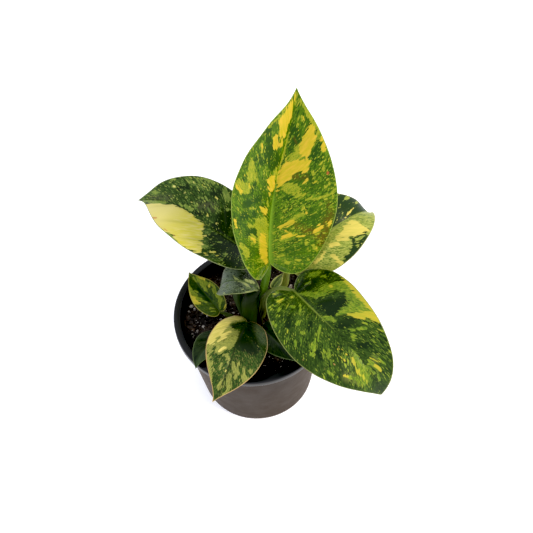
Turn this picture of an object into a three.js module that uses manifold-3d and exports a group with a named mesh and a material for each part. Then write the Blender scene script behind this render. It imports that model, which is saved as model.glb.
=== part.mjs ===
// Potted congo green philodendron: a young variegated plant in a round black nursery pot.
// Millimetres, +Z up. The origin is the centre of the pot's base, and the plant's front faces -Y.
// Each leaf is one piece, as it grew: a petiole that clasps the stem and a blade at its end.

import * as THREE from 'three';
import { mergeVertices } from 'three/addons/utils/BufferGeometryUtils.js';
import Module from 'manifold-3d';

const wasm = await Module();
wasm.setup();

// Pot: a thin moulded shell with a down-turned rim. It stands on a ring round its edge and on the
// flat middle of its base, and the drain holes are in the raised channel between the two.
const POT_HEIGHT = 92.5;
const RIM_RADIUS = 57.5;
const RIM_DEPTH = 5;
const RIM_ROUND = 1;
const WALL = 1.4;
const WALL_TOP_RADIUS = 53.8;
const FOOT_RADIUS = 43.5;
const FOOT_RING_WIDTH = 4.5;
const CHANNEL_RISE = 2.5;
const CHANNEL_SLOPE = 1;
const MIDDLE_RADIUS = 17;
const DRAIN_COUNT = 8;
const DRAIN_RADIUS = 4;
const DRAIN_CIRCLE_RADIUS = 28.5;
const DRAIN_SIDES = 12;
const POT_SIDES = 56;

// Potting mix: it fills the pot to a little under the rim and is mounded round the stem.
const SOIL_LEVEL = 81.5;
const SOIL_MOUND = 2.5;
const SOIL_MOUND_RADIUS = 14;
const CRUMB_COUNT = 210;
const CRUMB_RADIUS = [1.8, 4];
const CRUMB_HEIGHT = [0.6, 1.9];
const CRUMB_SEED = 7;
const SOIL_SIDES = 48;
const SOIL_RINGS = 13;

// Gap left between two pieces that touch on the real plant.
const CLEARANCE = 0.35;

// Stem: a short upright stem. Each point is a place and the stem's radius there.
const STEM = [
  { at: [1.4, 0.6, 54], radius: 3 },
  { at: [1.4, 0.6, 60], radius: 5.5 },
  { at: [1.5, 0.8, 73], radius: 5.5 },
  { at: [1.8, 1.2, 81], radius: 3.3 },
  { at: [2.3, 1.3, 91], radius: 3.1 },
];

// Stem and petioles: sides of each tube, and rings from one of its places to the next.
const TUBE_SIDES = 8;
const TUBE_RINGS = 3;

// Blade thickness at the margin, and the midrib's ridge on the underside at the base and the tip.
const BLADE = 0.8;
const RIB_DEPTH = [2.2, 0.3];
const RIB_HALF_WIDTH = [2.6, 1.2];
// Share of the way from the midrib to the margin at each column of a blade.
const COLUMNS = [0.07, 0.3, 0.64, 1];
// Rows of a blade follow its side veins. They are closer together round the base lobes. One that
// reaches the margin a share u of the way round leaves the midrib at u to the power VEIN_LEAN, and
// bows towards the tip: half way out, its handle is these shares of the way across and along.
const ROW_SPREAD = 1.2;
const VEIN_LEAN = 1.7;
const VEIN_BOW = { across: 0.55, along: 0.35 };
// The petiole runs on under the blade for this far, and thins out there.
const PETIOLE_RUN_ON = 5;

// Leaves. midrib is a cubic curve from the petiole's end to the tip: its two ends and two handles.
// face is the way that the upper side looks, at the base and at the tip. fold is the rise of each
// half from the midrib in degrees, and droop is how far it has turned down again at the margin.
// halfWidth is of the left and right halves, tip up. widest, lobe, swell and taper shape the
// outline, as shares of the midrib's length. petiole runs from the stem, with its radius. A leaf
// has the ridge under its midrib unless rib is 0.
const LEAVES = [
  {
    name: 'leaf_tall',
    colour: 0x5b8f2a,
    rows: 19,
    midrib: [[15.5, 5, 147.5], [18.5, 45.5, 184.5], [38, 55.5, 215], [43.5, 78, 235.5]],
    face: [[0.4, 0.16, 0.9], [0.26, -0.76, 0.6]],
    fold: 28.5,
    droop: 5.5,
    halfWidth: [41, 43.5],
    widest: 0.36,
    lobe: [0.22, 0.22],
    swell: [0.24, 0.35],
    taper: [0.08, 0.1],
    petiole: [
      { at: [2.3, 1.3, 91.6], radius: 3.1 },
      { at: [3.4, 1.1, 99], radius: 3.1 },
      { at: [5, 0.6, 108], radius: 3 },
      { at: [7.5, -0.2, 120], radius: 2.9 },
      { at: [10.3, -0.2, 131.5], radius: 2.8 },
      { at: [13, 2.2, 140], radius: 2.7 },
    ],
  },
  {
    name: 'leaf_left',
    colour: 0x2f5526,
    rows: 17,
    midrib: [[-0.5, 26, 138], [-27, 31, 162], [-44, 60, 164.5], [-72, 73.5, 143.5]],
    face: [[0.14, -0.2, 0.97], [-0.08, -0.24, 0.97]],
    fold: 22,
    droop: 6,
    halfWidth: [27.5, 29.5],
    widest: 0.35,
    lobe: [0.18, 0.23],
    swell: [0.2, 0.32],
    taper: [0.06, 0.14],
    petiole: [
      { at: [-3.6, 0.4, 79], radius: 2.6 },
      { at: [-4.7, -0.1, 93], radius: 2.8 },
      { at: [-6, -0.6, 107], radius: 3 },
      { at: [-7.8, 0.2, 118], radius: 3.2 },
      { at: [-7.6, 8, 127], radius: 2.8 },
      { at: [-4.6, 17.5, 134], radius: 2.5 },
    ],
  },
  {
    name: 'leaf_back',
    colour: 0x6d8f45,
    rows: 15,
    midrib: [[31.5, 16.5, 134.5], [57.5, 19.5, 156], [83.5, 36, 162], [91.5, 45, 137.5]],
    face: [[0.03, -0.51, 0.86], [-0.33, -0.25, 0.91]],
    fold: 15,
    droop: 8.5,
    halfWidth: [26, 26],
    widest: 0.36,
    lobe: [0.16, 0.2],
    swell: [0.2, 0.31],
    taper: [0.08, 0.12],
    petiole: [
      { at: [6.6, 1.3, 79], radius: 2.5 },
      { at: [8.6, 1.9, 90], radius: 2.7 },
      { at: [13.5, 3.6, 97], radius: 2.7 },
      { at: [19, 5.5, 104], radius: 2.6 },
      { at: [24.8, 7.8, 113.5], radius: 2.5 },
      { at: [28.2, 11.2, 125], radius: 2.3 },
    ],
  },
  {
    name: 'leaf_front',
    colour: 0x3c6b25,
    rows: 18,
    midrib: [[30.5, -11, 134], [47.5, -46, 148], [73.5, -75, 143], [80.5, -82, 107.5]],
    face: [[0.25, -0.63, 0.73], [0.02, -0.92, 0.37]],
    fold: 19,
    droop: 7.5,
    halfWidth: [31.5, 33],
    widest: 0.37,
    lobe: [0.17, 0.24],
    swell: [0.22, 0.3],
    taper: [0.09, 0.09],
    petiole: [
      { at: [4.8, -3.8, 79], radius: 2.5 },
      { at: [5.4, -4.2, 92], radius: 2.6 },
      { at: [7.3, -5.4, 107], radius: 2.6 },
      { at: [9.2, -6.1, 120.5], radius: 2.6 },
      { at: [14.5, -6.6, 130], radius: 2.4 },
      { at: [22, -7.8, 134.6], radius: 2.3 },
    ],
  },
  {
    name: 'leaf_silver',
    colour: 0x5c7a74,
    rows: 12,
    midrib: [[7, -4.5, 129], [-5.5, 2.5, 141], [-21, 1, 141.5], [-21.5, 1.5, 120.5]],
    face: [[0.23, 0.29, 0.92], [0.06, 0, 1]],
    fold: 10,
    droop: 11,
    halfWidth: [13.9, 13.7],
    widest: 0.45,
    lobe: [0.09, -0.11],
    swell: [0.22, 0.27],
    taper: [0.05, 0.15],
    petiole: [
      { at: [-1, -5.2, 79], radius: 3 },
      { at: [-0.7, -5.8, 92], radius: 3.4 },
      { at: [0, -6.4, 106], radius: 3.9 },
      { at: [0.3, -6.4, 117], radius: 4.4 },
      { at: [1.9, -5.8, 124], radius: 4.1 },
      { at: [4.8, -5.2, 127.4], radius: 2.3 },
    ],
  },
  {
    name: 'leaf_low_front',
    colour: 0x6f8a3c,
    rows: 14,
    midrib: [[-4, -14.5, 104], [-14, -32.5, 116], [-18, -56.5, 114], [-32.5, -69.5, 98]],
    face: [[-0.19, -0.43, 0.88], [0, -0.47, 0.88]],
    fold: 8,
    droop: 10.5,
    halfWidth: [22.2, 20],
    widest: 0.38,
    lobe: [0.14, 0.15],
    swell: [0.19, 0.3],
    taper: [0.06, 0.14],
    petiole: [
      { at: [-2.6, -11, 76], radius: 2.2 },
      { at: [-2.8, -11.3, 86], radius: 2.1 },
      { at: [-3.2, -12.4, 95], radius: 2 },
    ],
  },
  {
    name: 'leaf_low_left',
    colour: 0x5d7a2a,
    rows: 12,
    midrib: [[-23, 0, 98.5], [-29.5, 8.5, 104], [-37.5, 16.5, 109.5], [-42.5, 28, 111]],
    face: [[-0.11, -0.52, 0.85], [0, -0.44, 0.9]],
    fold: 15,
    droop: 8.5,
    halfWidth: [11.3, 11],
    widest: 0.38,
    lobe: [0.17, 0.17],
    swell: [0.2, 0.32],
    taper: [0.08, 0.11],
    petiole: [
      { at: [-10.2, -2.6, 76], radius: 1.7 },
      { at: [-10.8, -2.4, 85], radius: 1.7 },
      { at: [-14, -1.8, 90.6], radius: 1.6 },
      { at: [-18.4, -1, 94.8], radius: 1.5 },
    ],
  },
  {
    name: 'leaf_low_dark',
    colour: 0x24402a,
    rows: 12,
    midrib: [[-20, -12.5, 91], [-27.5, -23.5, 96.5], [-39.5, -28.5, 99.5], [-43, -41, 96]],
    face: [[-0.36, 0.11, 0.92], [-0.12, -0.15, 0.98]],
    fold: 11.5,
    droop: 10,
    halfWidth: [11.5, 11.5],
    widest: 0.37,
    lobe: [0.16, 0.2],
    swell: [0.2, 0.31],
    taper: [0.08, 0.12],
    petiole: [
      { at: [-9.6, -8, 76], radius: 1.7 },
      { at: [-10.6, -8.6, 84.6], radius: 1.7 },
      { at: [-15, -10.6, 88.6], radius: 1.6 },
    ],
  },
  {
    name: 'leaf_low_right',
    colour: 0x22402a,
    rows: 12,
    midrib: [[6, -13.5, 91], [13.5, -25, 99], [19, -39.5, 101], [32, -46.5, 95]],
    face: [[0.16, -0.19, 0.97], [0.15, -0.2, 0.97]],
    fold: 15.5,
    droop: 8,
    halfWidth: [13, 12.8],
    widest: 0.34,
    lobe: [0.16, 0.2],
    swell: [0.2, 0.26],
    taper: [0.05, 0.16],
    petiole: [
      { at: [4.5, -10.2, 76], radius: 1.8 },
      { at: [4.6, -10.4, 84], radius: 1.8 },
      { at: [5.2, -11.8, 88], radius: 1.6 },
    ],
  },
];

// Dried cataphyll: the papery bract that wrapped an older leaf and now stands open at the crown.
const CATAPHYLL = {
  rows: 10,
  rib: 0,
  midrib: [[13.2, -3, 129], [15, -0.5, 131.5], [18.5, 3, 133.5], [23.5, 7.5, 133.5]],
  face: [[-0.6, -0.5, 0.6], [-0.5, -0.5, 0.7]],
  fold: 38,
  droop: -20,
  halfWidth: [4, 4],
  widest: 0.3,
  lobe: [0.08, 0.02],
  swell: [0.16, 0.3],
  taper: [0.03, 0.2],
};

// Turns a closed three.js geometry into a solid for cutting and joining.
function solidOf(geometry) {
  const bare = geometry.index ? geometry.toNonIndexed() : geometry.clone();
  bare.deleteAttribute('normal');
  bare.deleteAttribute('uv');
  const merged = mergeVertices(bare, 1e-3);
  return new wasm.Manifold(
    new wasm.Mesh({
      numProp: 3,
      vertProperties: merged.attributes.position.array,
      triVerts: new Uint32Array(merged.index.array),
    }),
  );
}

// Turns a solid back into a three.js geometry.
function geometryOf(solid) {
  const mesh = solid.getMesh();
  const geometry = new THREE.BufferGeometry();
  geometry.setAttribute('position', new THREE.BufferAttribute(mesh.vertProperties, 3));
  geometry.setIndex(new THREE.BufferAttribute(mesh.triVerts, 1));
  geometry.computeVertexNormals();
  return geometry;
}

// Seeded random numbers from 0 to 1, the same each time.
function seededRandom(seed) {
  let state = seed;
  return () => {
    state = (state * 1664525 + 1013904223) % 4294967296;
    return state / 4294967296;
  };
}

const between = ([low, high], share) => low + (high - low) * share;

// A round tube along a smooth curve through places that each have a radius, with closed ends.
function tube(places, extraRadius = 0) {
  const curve = new THREE.CatmullRomCurve3(places.map((p) => new THREE.Vector3(...p.at)));
  const rings = (places.length - 1) * TUBE_RINGS;
  const frames = curve.computeFrenetFrames(rings);
  const positions = [];
  const index = [];
  for (let ring = 0; ring <= rings; ring++) {
    const share = ring / rings;
    const centre = curve.getPointAt(share);
    const place = curve.getUtoTmapping(share) * (places.length - 1);
    const before = Math.min(Math.floor(place), places.length - 2);
    const radius = between([places[before].radius, places[before + 1].radius], place - before);
    for (let side = 0; side < TUBE_SIDES; side++) {
      const turn = (side / TUBE_SIDES) * 2 * Math.PI;
      const point = centre
        .clone()
        .addScaledVector(frames.normals[ring], Math.cos(turn) * (radius + extraRadius))
        .addScaledVector(frames.binormals[ring], Math.sin(turn) * (radius + extraRadius));
      positions.push(...point.toArray());
    }
  }
  for (let ring = 0; ring < rings; ring++) {
    for (let side = 0; side < TUBE_SIDES; side++) {
      const a = ring * TUBE_SIDES + side;
      const b = ring * TUBE_SIDES + ((side + 1) % TUBE_SIDES);
      index.push(a, b, b + TUBE_SIDES, a, b + TUBE_SIDES, a + TUBE_SIDES);
    }
  }
  for (let side = 1; side < TUBE_SIDES - 1; side++) {
    const last = rings * TUBE_SIDES;
    index.push(0, side + 1, side, last, last + side, last + side + 1);
  }
  const geometry = new THREE.BufferGeometry();
  geometry.setAttribute('position', new THREE.Float32BufferAttribute(positions, 3));
  geometry.setIndex(index);
  return geometry;
}

// One half of a blade's outline, laid flat: x out from the midrib, y along it, base lobe to tip.
function halfOutline(leaf, halfWidth, length) {
  const widest = leaf.widest * length;
  const [lobeOut, lobeBack] = leaf.lobe.map((share) => share * length);
  const [swellBack, swellOn] = leaf.swell.map((share) => share * length);
  const [taperOut, taperBack] = leaf.taper.map((share) => share * length);
  const outline = new THREE.CurvePath();
  const point = (x, y) => new THREE.Vector2(x, y);
  outline.add(
    new THREE.CubicBezierCurve(
      point(0, 0),
      point(lobeOut, -lobeBack),
      point(halfWidth, widest - swellBack),
      point(halfWidth, widest),
    ),
  );
  outline.add(
    new THREE.CubicBezierCurve(
      point(halfWidth, widest),
      point(halfWidth, widest + swellOn),
      point(taperOut, length - taperBack),
      point(0, length),
    ),
  );
  return outline;
}

// Bends a flat place on a blade into space: along the midrib's curve, and up the folded half.
// Returns the place on the upper face and the face's direction there.
function bend(leaf, midrib, length, side, x, y) {
  const along = THREE.MathUtils.clamp(y, 0, length) / length;
  const tangent = midrib.getTangentAt(along);
  const centre = midrib.getPointAt(along).addScaledVector(tangent, y - along * length);
  const [faceBase, faceTip] = leaf.face.map((direction) => new THREE.Vector3(...direction).normalize());
  const up = faceBase.lerp(faceTip, along);
  up.addScaledVector(tangent, -up.dot(tangent)).normalize();
  const out = new THREE.Vector3().crossVectors(tangent, up).multiplyScalar(side);
  const fold = THREE.MathUtils.degToRad(leaf.fold);
  const widest = Math.max(...leaf.halfWidth);
  const curl = -THREE.MathUtils.degToRad(leaf.droop) / widest;
  const sideways = (Math.sin(fold + curl * x) - Math.sin(fold)) / curl;
  const rise = (Math.cos(fold) - Math.cos(fold + curl * x)) / curl;
  const angle = fold + curl * x;
  const normal = up.clone().multiplyScalar(Math.cos(angle)).addScaledVector(out, -Math.sin(angle));
  const place = centre.addScaledVector(out, sideways).addScaledVector(up, rise);
  return { place, normal: x === 0 ? up : normal };
}

// A blade as a closed body: an upper and a lower grid with the same triangles, joined at the margin.
function blade(leaf) {
  const midrib = new THREE.CubicBezierCurve3(...leaf.midrib.map((p) => new THREE.Vector3(...p)));
  const length = midrib.getLength();
  const halves = leaf.halfWidth.map((halfWidth) => halfOutline(leaf, halfWidth, length));
  const columns = [...COLUMNS.map((share) => -share).reverse(), 0, ...COLUMNS];
  const upper = [];
  const lower = [];
  for (let row = 0; row <= leaf.rows; row++) {
    const u = (row / leaf.rows) ** ROW_SPREAD;
    const start = length * u ** VEIN_LEAN;
    for (const column of columns) {
      const side = Math.sign(column) || 1;
      const share = Math.abs(column);
      const edge = halves[side < 0 ? 0 : 1].getPointAt(u);
      const handle = 2 * share * (1 - share);
      const x = edge.x * (share * share + handle * VEIN_BOW.across);
      const y = start + (edge.y - start) * (share * share + handle * VEIN_BOW.along);
      const { place, normal } = bend(leaf, midrib, length, side, x, y);
      const ribHalfWidth = between(RIB_HALF_WIDTH, u);
      const rib = between(RIB_DEPTH, u) * (leaf.rib ?? 1) * Math.exp(-((x / ribHalfWidth) ** 2));
      upper.push(place.clone().addScaledVector(normal, BLADE / 2));
      lower.push(place.clone().addScaledVector(normal, -BLADE / 2 - rib));
    }
  }
  const across = columns.length;
  const vertex = (i) => (i < across ? 0 : i >= leaf.rows * across ? leaf.rows * across : i);
  const triangles = [];
  const face = (a, b, c) => {
    if (a !== b && b !== c && c !== a) triangles.push(a, b, c);
  };
  const under = upper.length;
  for (let row = 0; row < leaf.rows; row++) {
    for (let column = 0; column < across - 1; column++) {
      const a = vertex(row * across + column);
      const b = vertex(row * across + column + 1);
      const c = vertex((row + 1) * across + column + 1);
      const d = vertex((row + 1) * across + column);
      face(a, b, c);
      face(a, c, d);
      face(a + under, c + under, b + under);
      face(a + under, d + under, c + under);
    }
    for (const [column, turned] of [[0, true], [across - 1, false]]) {
      const a = vertex(row * across + column);
      const b = vertex((row + 1) * across + column);
      if (turned) {
        face(a, b, b + under);
        face(a, b + under, a + under);
      } else {
        face(a, b + under, b);
        face(a, a + under, b + under);
      }
    }
  }
  const places = [...upper, ...lower].flatMap((p) => p.toArray());
  const geometry = new THREE.BufferGeometry();
  geometry.setAttribute('position', new THREE.Float32BufferAttribute(places, 3));
  geometry.setIndex(triangles);
  return { geometry, midrib };
}

// The petiole's places, carried on under the blade's base so that the two grow together.
function petiolePlaces(leaf, midrib) {
  const tangent = midrib.getTangentAt(0);
  const up = new THREE.Vector3(...leaf.face[0]);
  up.addScaledVector(tangent, -up.dot(tangent)).normalize();
  const end = leaf.petiole[leaf.petiole.length - 1].radius;
  const under = (along, drop) =>
    midrib.getPointAt(0).addScaledVector(tangent, along).addScaledVector(up, -drop).toArray();
  return [
    ...leaf.petiole,
    { at: under(0, end * 0.7), radius: end * 0.85 },
    { at: under(PETIOLE_RUN_ON, end * 0.5), radius: end * 0.45 },
  ];
}

// Potting mix: a plug that fills the pot, with a crumbly top.
function soilPlug() {
  const random = seededRandom(CRUMB_SEED);
  const crumbs = Array.from({ length: CRUMB_COUNT }, () => {
    const turn = random() * 2 * Math.PI;
    const out = Math.sqrt(random()) * WALL_TOP_RADIUS;
    return {
      x: Math.cos(turn) * out,
      y: Math.sin(turn) * out,
      radius: between(CRUMB_RADIUS, random()),
      height: between(CRUMB_HEIGHT, random()),
    };
  });
  const wallSlope = (WALL_TOP_RADIUS - FOOT_RADIUS) / POT_HEIGHT;
  const inside = (z) => FOOT_RADIUS + wallSlope * z - WALL - CLEARANCE;
  const bottom = CHANNEL_RISE + WALL + CLEARANCE;
  const edge = inside(SOIL_LEVEL);
  const profile = [
    new THREE.Vector2(0, WALL + CLEARANCE),
    new THREE.Vector2(MIDDLE_RADIUS - CLEARANCE, WALL + CLEARANCE),
    new THREE.Vector2(MIDDLE_RADIUS + CHANNEL_SLOPE, bottom),
    new THREE.Vector2(inside(bottom), bottom),
  ];
  for (let ring = SOIL_RINGS; ring >= 0; ring--) {
    profile.push(new THREE.Vector2((edge * ring) / SOIL_RINGS, SOIL_LEVEL));
  }
  const geometry = new THREE.LatheGeometry(profile, SOIL_SIDES).rotateX(Math.PI / 2);
  const position = geometry.attributes.position;
  for (let i = 0; i < position.count; i++) {
    const [x, y, z] = [position.getX(i), position.getY(i), position.getZ(i)];
    const out = Math.hypot(x, y);
    if (z < SOIL_LEVEL - 1 || out > edge - 0.5) continue;
    const lump = Math.max(
      0,
      ...crumbs.map((c) => c.height * (1 - Math.hypot(x - c.x, y - c.y) / c.radius)),
    );
    position.setZ(i, z + lump + SOIL_MOUND * Math.exp(-((out / SOIL_MOUND_RADIUS) ** 2)));
  }
  return solidOf(geometry);
}

// Pot shell, turned about its axis, with a ring of drain holes.
function potShell() {
  const inside = (z) => FOOT_RADIUS + ((WALL_TOP_RADIUS - FOOT_RADIUS) * z) / POT_HEIGHT - WALL;
  const channelTop = CHANNEL_RISE + WALL;
  const skirt = RIM_RADIUS - WALL;
  const underRim = POT_HEIGHT - WALL;
  const profile = [
    [0, 0],
    [MIDDLE_RADIUS, 0],
    [MIDDLE_RADIUS + CHANNEL_SLOPE, CHANNEL_RISE],
    [FOOT_RADIUS - FOOT_RING_WIDTH - CHANNEL_SLOPE, CHANNEL_RISE],
    [FOOT_RADIUS - FOOT_RING_WIDTH, 0],
    [FOOT_RADIUS - 0.6, 0],
    [FOOT_RADIUS, 0.6],
    [inside(underRim) + WALL, underRim],
    [skirt, underRim],
    [skirt, POT_HEIGHT - RIM_DEPTH],
    [RIM_RADIUS, POT_HEIGHT - RIM_DEPTH],
    [RIM_RADIUS, POT_HEIGHT - RIM_ROUND],
    [RIM_RADIUS - RIM_ROUND * 0.3, POT_HEIGHT - RIM_ROUND * 0.3],
    [RIM_RADIUS - RIM_ROUND, POT_HEIGHT],
    [inside(POT_HEIGHT) + RIM_ROUND, POT_HEIGHT],
    [inside(POT_HEIGHT), POT_HEIGHT - RIM_ROUND],
    [inside(channelTop), channelTop],
    [MIDDLE_RADIUS + CHANNEL_SLOPE, channelTop],
    [MIDDLE_RADIUS, WALL],
    [0, WALL],
  ].map(([x, y]) => new THREE.Vector2(x, y));
  let shell = solidOf(new THREE.LatheGeometry(profile, POT_SIDES).rotateX(Math.PI / 2));
  for (let hole = 0; hole < DRAIN_COUNT; hole++) {
    const turn = (hole / DRAIN_COUNT) * 2 * Math.PI;
    const drill = new THREE.CylinderGeometry(DRAIN_RADIUS, DRAIN_RADIUS, 4 * WALL, DRAIN_SIDES);
    drill.rotateX(Math.PI / 2);
    drill.translate(
      Math.cos(turn) * DRAIN_CIRCLE_RADIUS,
      Math.sin(turn) * DRAIN_CIRCLE_RADIUS,
      CHANNEL_RISE + WALL / 2,
    );
    shell = shell.subtract(solidOf(drill));
  }
  return shell;
}

const plant = new THREE.Group();

function addPiece(name, solid, colour, roughness) {
  const material = new THREE.MeshStandardMaterial({ color: colour, roughness, metalness: 0 });
  const mesh = new THREE.Mesh(geometryOf(solid), material);
  mesh.name = name;
  plant.add(mesh);
}

addPiece('pot', potShell(), 0x2b2826, 0.55);

// The stem and the petioles are packed close at the crown, so each new petiole is hollowed round
// the ones inside it, and the potting mix has a plain hole for whatever stands in it.
const standing = [STEM];
addPiece('stem', solidOf(tube(STEM)), 0x6b6a4a, 0.8);
for (const leaf of LEAVES) {
  const { geometry, midrib } = blade(leaf);
  const places = petiolePlaces(leaf, midrib);
  let petiole = solidOf(tube(places));
  for (const inner of standing) petiole = petiole.subtract(solidOf(tube(inner, CLEARANCE)));
  addPiece(leaf.name, petiole.add(solidOf(geometry)), leaf.colour, 0.4);
  standing.push(places);
}
let bract = solidOf(blade(CATAPHYLL).geometry);
for (const inner of standing) bract = bract.subtract(solidOf(tube(inner, CLEARANCE)));
addPiece('cataphyll', bract, 0xb5a377, 0.7);

let soil = soilPlug();
for (const inner of standing) soil = soil.subtract(solidOf(tube(inner, CLEARANCE)));
addPiece('potting_mix', soil, 0x2a1f18, 0.95);

export default plant;
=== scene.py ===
# Looks of the potted Congo green philodendron: a young variegated plant in a round black nursery pot.
# Sizes are in millimetres, as in the part's own source, and become metres when a mesh is made.

import math
import random

import bmesh
import bpy
import numpy as np
from mathutils import Matrix, Vector, noise


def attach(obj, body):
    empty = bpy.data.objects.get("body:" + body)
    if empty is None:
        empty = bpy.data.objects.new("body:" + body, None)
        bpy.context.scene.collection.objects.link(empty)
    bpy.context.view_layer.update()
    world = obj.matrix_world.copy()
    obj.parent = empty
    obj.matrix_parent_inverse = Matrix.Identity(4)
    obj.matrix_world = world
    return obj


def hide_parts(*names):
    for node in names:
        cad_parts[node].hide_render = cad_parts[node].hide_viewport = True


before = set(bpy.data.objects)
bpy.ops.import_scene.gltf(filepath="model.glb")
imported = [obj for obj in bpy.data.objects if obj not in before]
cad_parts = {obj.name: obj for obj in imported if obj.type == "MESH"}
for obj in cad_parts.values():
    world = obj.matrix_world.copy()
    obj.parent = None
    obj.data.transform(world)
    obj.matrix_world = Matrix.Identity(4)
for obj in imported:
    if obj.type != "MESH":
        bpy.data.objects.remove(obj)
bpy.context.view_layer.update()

# Pot
# A round nursery pot of thin black polypropylene, injection moulded in one piece. Its wall tapers to a
# foot with a standing ring and a raised channel of drain holes, and its rim is turned down in a skirt.

MM = 0.001

POT_HEIGHT = 92.5
RIM_RADIUS = 57.5
RIM_DEPTH = 5
RIM_ROUND = 1.1
LIP_ROUND = 1
SKIRT_ROUND = 0.5
WALL = 1.4
WALL_TOP_RADIUS = 53.8
FOOT_RADIUS = 43.5
FOOT_ROUND = 0.6
FOOT_RING_WIDTH = 4.5
CHANNEL_RISE = 2.5
MIDDLE_RADIUS = 17
LEDGE_DROP = 7.5
LEDGE_STEP = 0.5
DRAIN_COUNT = 8
DRAIN_RADIUS = 4
DRAIN_CIRCLE_RADIUS = 28.5
DRILL_SIDES = 32
POT_SIDES = 160
POT_SHARP = 50
DUST_CLOUD = 16.7
SCUFF_WIDTH = 1.11
GRAIN_HEIGHT = 0.06
# A turned profile starts this far from its axis, because faces on the axis would have no area.
NEAR_AXIS = 0.01


def linear(hex_colour):
    """An sRGB hex value as a linear colour with alpha."""
    shares = [int(hex_colour[i:i + 2], 16) / 255 for i in (1, 3, 5)]
    return [c / 12.92 if c <= 0.04045 else ((c + 0.055) / 1.055) ** 2.4 for c in shares] + [1]


def per_metre(size):
    """The scale of a pattern on metres that has features of a size in millimetres."""
    return 1 / (size * MM)


def add(material, kind, inputs=None, stops=None, **settings):
    """Adds a node with its settings and links, and a ramp's stops. An input is a value or what is linked
    to it: another node's output, or the node itself, which gives its first output in use."""
    tree = material.node_tree
    made = tree.nodes.new("ShaderNode" + kind)
    for name, value in settings.items():
        setattr(made, name, value)
    for name, value in (inputs or {}).items():
        if isinstance(value, bpy.types.Node):
            value = next(output for output in value.outputs if output.enabled)
        if isinstance(value, bpy.types.NodeSocket):
            tree.links.new(value, made.inputs[name])
        else:
            made.inputs[name].default_value = value
    for i, (place, colour) in enumerate(stops or []):
        stop = made.color_ramp.elements[i] if i < 2 else made.color_ramp.elements.new(place)
        stop.position = place
        stop.color = linear(colour)
    return made


def new_material(name):
    """A node material with no nodes yet."""
    material = bpy.data.materials.new(name)
    material.use_nodes = True
    material.node_tree.nodes.clear()
    return material


def mesh_piece(name, places, faces, materials, slots=None, sharp_degrees=None):
    """A mesh object from places in millimetres, smooth shaded, with a material slot for each face."""
    mesh = bpy.data.meshes.new(name)
    mesh.from_pydata((np.asarray(places, float) * MM).tolist(), [], faces)
    for material in materials:
        mesh.materials.append(material)
    if slots is not None:
        mesh.polygons.foreach_set("material_index", np.asarray(slots, np.int32))
    mesh.polygons.foreach_set("use_smooth", [True] * len(mesh.polygons))
    if sharp_degrees is not None:
        mesh.set_sharp_from_angle(angle=math.radians(sharp_degrees))
    mesh.update()
    piece = bpy.data.objects.new(name, mesh)
    bpy.context.scene.collection.objects.link(piece)
    return piece


def turned(profile, sides):
    """Places and faces of a closed profile turned about the upright axis."""
    places = []
    for i in range(sides):
        turn = 2 * math.pi * i / sides
        places += [(r * math.cos(turn), r * math.sin(turn), z) for r, z in profile]
    count = len(profile)
    faces = []
    for i in range(sides):
        a, b = i * count, (i + 1) % sides * count
        for k in range(count):
            m = (k + 1) % count
            faces.append((a + k, b + k, b + m, a + m))
    return places, faces


def polypropylene(name, film_colour, film_roughness, shine, haze):
    """Black polypropylene, injection moulded: near black and satin. Handling and dust leave a thin film on
    it, which shows as a warm haze when seen at a slant. The real mould grain of about 0.1 mm is too fine
    to show, so the relief is drawn as coarse as the film's clouds, which go down to half a millimetre."""
    material = new_material(name)
    where = add(material, "TexCoord").outputs["Object"]
    cloud = per_metre(DUST_CLOUD)
    dust = add(material, "TexNoise", {"Vector": where, "Scale": cloud, "Detail": 5, "Roughness": 0.6})
    scuffs = add(material, "Mapping", {"Vector": where, "Scale": (cloud, cloud, per_metre(SCUFF_WIDTH))})
    lines = add(material, "TexNoise", {"Vector": scuffs, "Scale": 1, "Detail": 3})
    film = add(material, "MapRange", {"Value": dust, 1: 0.3, 2: 0.7, 3: 0.62, 4: 1.1})
    colour = add(material, "Mix", {0: film, 6: linear("#08090b"), 7: linear(film_colour)}, data_type="RGBA")
    rough = add(material, "MapRange", {"Value": film, 3: 0.24, 4: film_roughness})
    streaked = add(material, "Math", {0: lines, 1: 0.12, 2: rough}, operation="MULTIPLY_ADD")
    grain = add(material, "Bump", {"Height": dust, "Distance": GRAIN_HEIGHT * MM, "Strength": 0.6})
    shader = add(material, "BsdfPrincipled", {
        "Base Color": colour, "Roughness": streaked, "Specular IOR Level": shine, "Sheen Weight": haze,
        "Sheen Tint": linear("#e0b080"), "Sheen Roughness": 0.5, "Normal": grain})
    add(material, "OutputMaterial", {0: shader})
    return material


def wall_inside(z):
    """The pot's inside radius at a height."""
    return FOOT_RADIUS + (WALL_TOP_RADIUS - FOOT_RADIUS) * z / POT_HEIGHT - WALL


def rounded(centre, radius, start, end, steps=5):
    """An arc of a profile, in degrees from outwards."""
    angles = [math.radians(start + (end - start) * i / steps) for i in range(steps + 1)]
    return [(centre[0] + radius * math.cos(a), centre[1] + radius * math.sin(a)) for a in angles]


ring_inner = FOOT_RADIUS - FOOT_RING_WIDTH
channel_top = CHANNEL_RISE + WALL
skirt_foot = POT_HEIGHT - RIM_DEPTH
skirt_inner = RIM_RADIUS - WALL
under_rim = POT_HEIGHT - WALL
rim_inner = wall_inside(POT_HEIGHT)
ledge = POT_HEIGHT - LEDGE_DROP
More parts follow.
